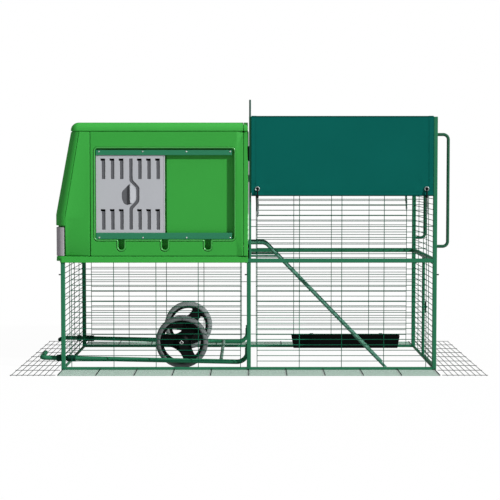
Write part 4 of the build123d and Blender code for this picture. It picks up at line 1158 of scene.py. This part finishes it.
for node in EASED:
    modifiers = frame["nodes"][node].modifiers
    modifiers.new("one_skin", "WELD").merge_threshold = 2 * MERGE
    eased = modifiers.new("eased_edges", "BEVEL")
    eased.width = EASE
    eased.segments = 2
    eased.limit_method = "ANGLE"
    eased.angle_limit = EASE_FROM
print("single solids finished")

# %% [markdown]
# The photograph is a long view from the front, a little above the middle, tipped down about three
# degrees. The lens and the place were worked out from the posts and rails.

# %% Camera
camera_data = bpy.data.cameras.new("camera")
camera_data.lens = 104.81
camera_data.sensor_width = 36
camera = bpy.data.objects.new("camera", camera_data)
camera.location = (0.0017, -8.3125, 1.0827)
camera.rotation_euler = (math.radians(90 - 3.191), 0, math.radians(-0.035))
bpy.context.scene.collection.objects.link(camera)
bpy.context.scene.camera = camera
print("camera at", tuple(camera.location))

# %% [markdown]
# The light is a sun from the upper right front, a weak wide one from the left, a narrow spot on the far
# wheel, an overhead sheet of light and a dim white room. Together they bring an upright surface to about
# the colour that its finish is written in. The camera sees the room at full white.

# %% Light
def lamp(name, kind, power, place, aim=(0, 0, 0.6), **settings):
    """A lamp at a place, aimed at the middle of the coop or at another point."""
    data = bpy.data.lights.new(name, kind)
    data.energy = power
    for key, value in settings.items():
        setattr(data, key, value)
    made = bpy.data.objects.new(name, data)
    made.location = place
    made.rotation_euler = (Vector(aim) - made.location).to_track_quat("-Z", "Y").to_euler()
    bpy.context.scene.collection.objects.link(made)
    return made


lamp("key_sun", "SUN", 3.9, (4.9, -2.9, 3.9), angle=math.radians(3))
lamp("far_wheel_spot", "SPOT", 420, (1.6, -3.0, 0.35), (-0.364, 0.427, 0.143), spot_size=math.radians(6),
     spot_blend=0.6)
lamp("left_fill", "SUN", 0.2, (-4.9, -2.4, 1.5), angle=math.radians(60))
lamp("overhead", "AREA", 72, (0.3, -0.4, 5.0), shape="RECTANGLE", size=5, size_y=4)
ROOM_LIGHT = 0.14
world = bpy.data.worlds.new("room")
bpy.context.scene.world = world
world.use_nodes = True
room = Field(world.node_tree)
background = world.node_tree.nodes["Background"]
seen = room.node("ShaderNodeLightPath", output="Is Camera Ray")
feed(background, "Strength", ROOM_LIGHT + (1 - ROOM_LIGHT) * seen)
background.inputs["Color"].default_value = (1, 1, 1, 1)
bpy.context.scene.view_settings.view_transform = "Standard"
print("light is set")

# %% [markdown]
# The floor is a pale sheet that glows, almost as white as the room, and keeps a trace of the coop's soft
# shadow. Further out it is exactly the white of the room, so no horizon shows. Light that bounces off it
# is dimmer than what the camera sees.

# %% Floor
FLOOR_HALF, FLOOR_Z = 40, -0.0005
FADE_FROM, FADE_TO, GLOW_NEAR, BOUNCE = 1.2, 4.0, 0.97, 0.3
SEEN_TONE, BOUNCE_TONE = (0.9, 0.9, 0.9, 1), (0.4, 0.4, 0.4, 1)
sheet = bmesh.new()
bmesh.ops.create_grid(sheet, x_segments=1, y_segments=1, size=FLOOR_HALF)
floor = linked("floor", sheet)
floor.location.z = FLOOR_Z
floor_paint = bpy.data.materials.new("pale_floor")
floor_paint.use_nodes = True
tree = floor_paint.node_tree
tree.nodes.remove(tree.nodes["Principled BSDF"])
start = Field(tree)
place = start.node("ShaderNodeTexCoord", output="Object")
away = start.node("ShaderNodeVectorMath", {"operation": "LENGTH"}, {0: place}, output=1)
fade = start.node("ShaderNodeMapRange", {"interpolation_type": "SMOOTHSTEP"},
                  {"Value": away, "From Min": FADE_FROM, "From Max": FADE_TO, "To Min": GLOW_NEAR})
seen = start.node("ShaderNodeLightPath", output="Is Camera Ray")
glow_share = start.maths("MAXIMUM", fade * seen, BOUNCE)
matt = start.node("ShaderNodeBsdfDiffuse", inputs={"Color": blended(start, BOUNCE_TONE, SEEN_TONE, seen)})
glow = start.node("ShaderNodeEmission", inputs={"Color": (1, 1, 1, 1), "Strength": 1.0})
mixed = start.node("ShaderNodeMixShader", inputs={0: glow_share, 1: matt, 2: glow})
tree.links.new(mixed.socket, tree.nodes["Material Output"].inputs["Surface"])
floor.data.materials.append(floor_paint)
print("floor laid")
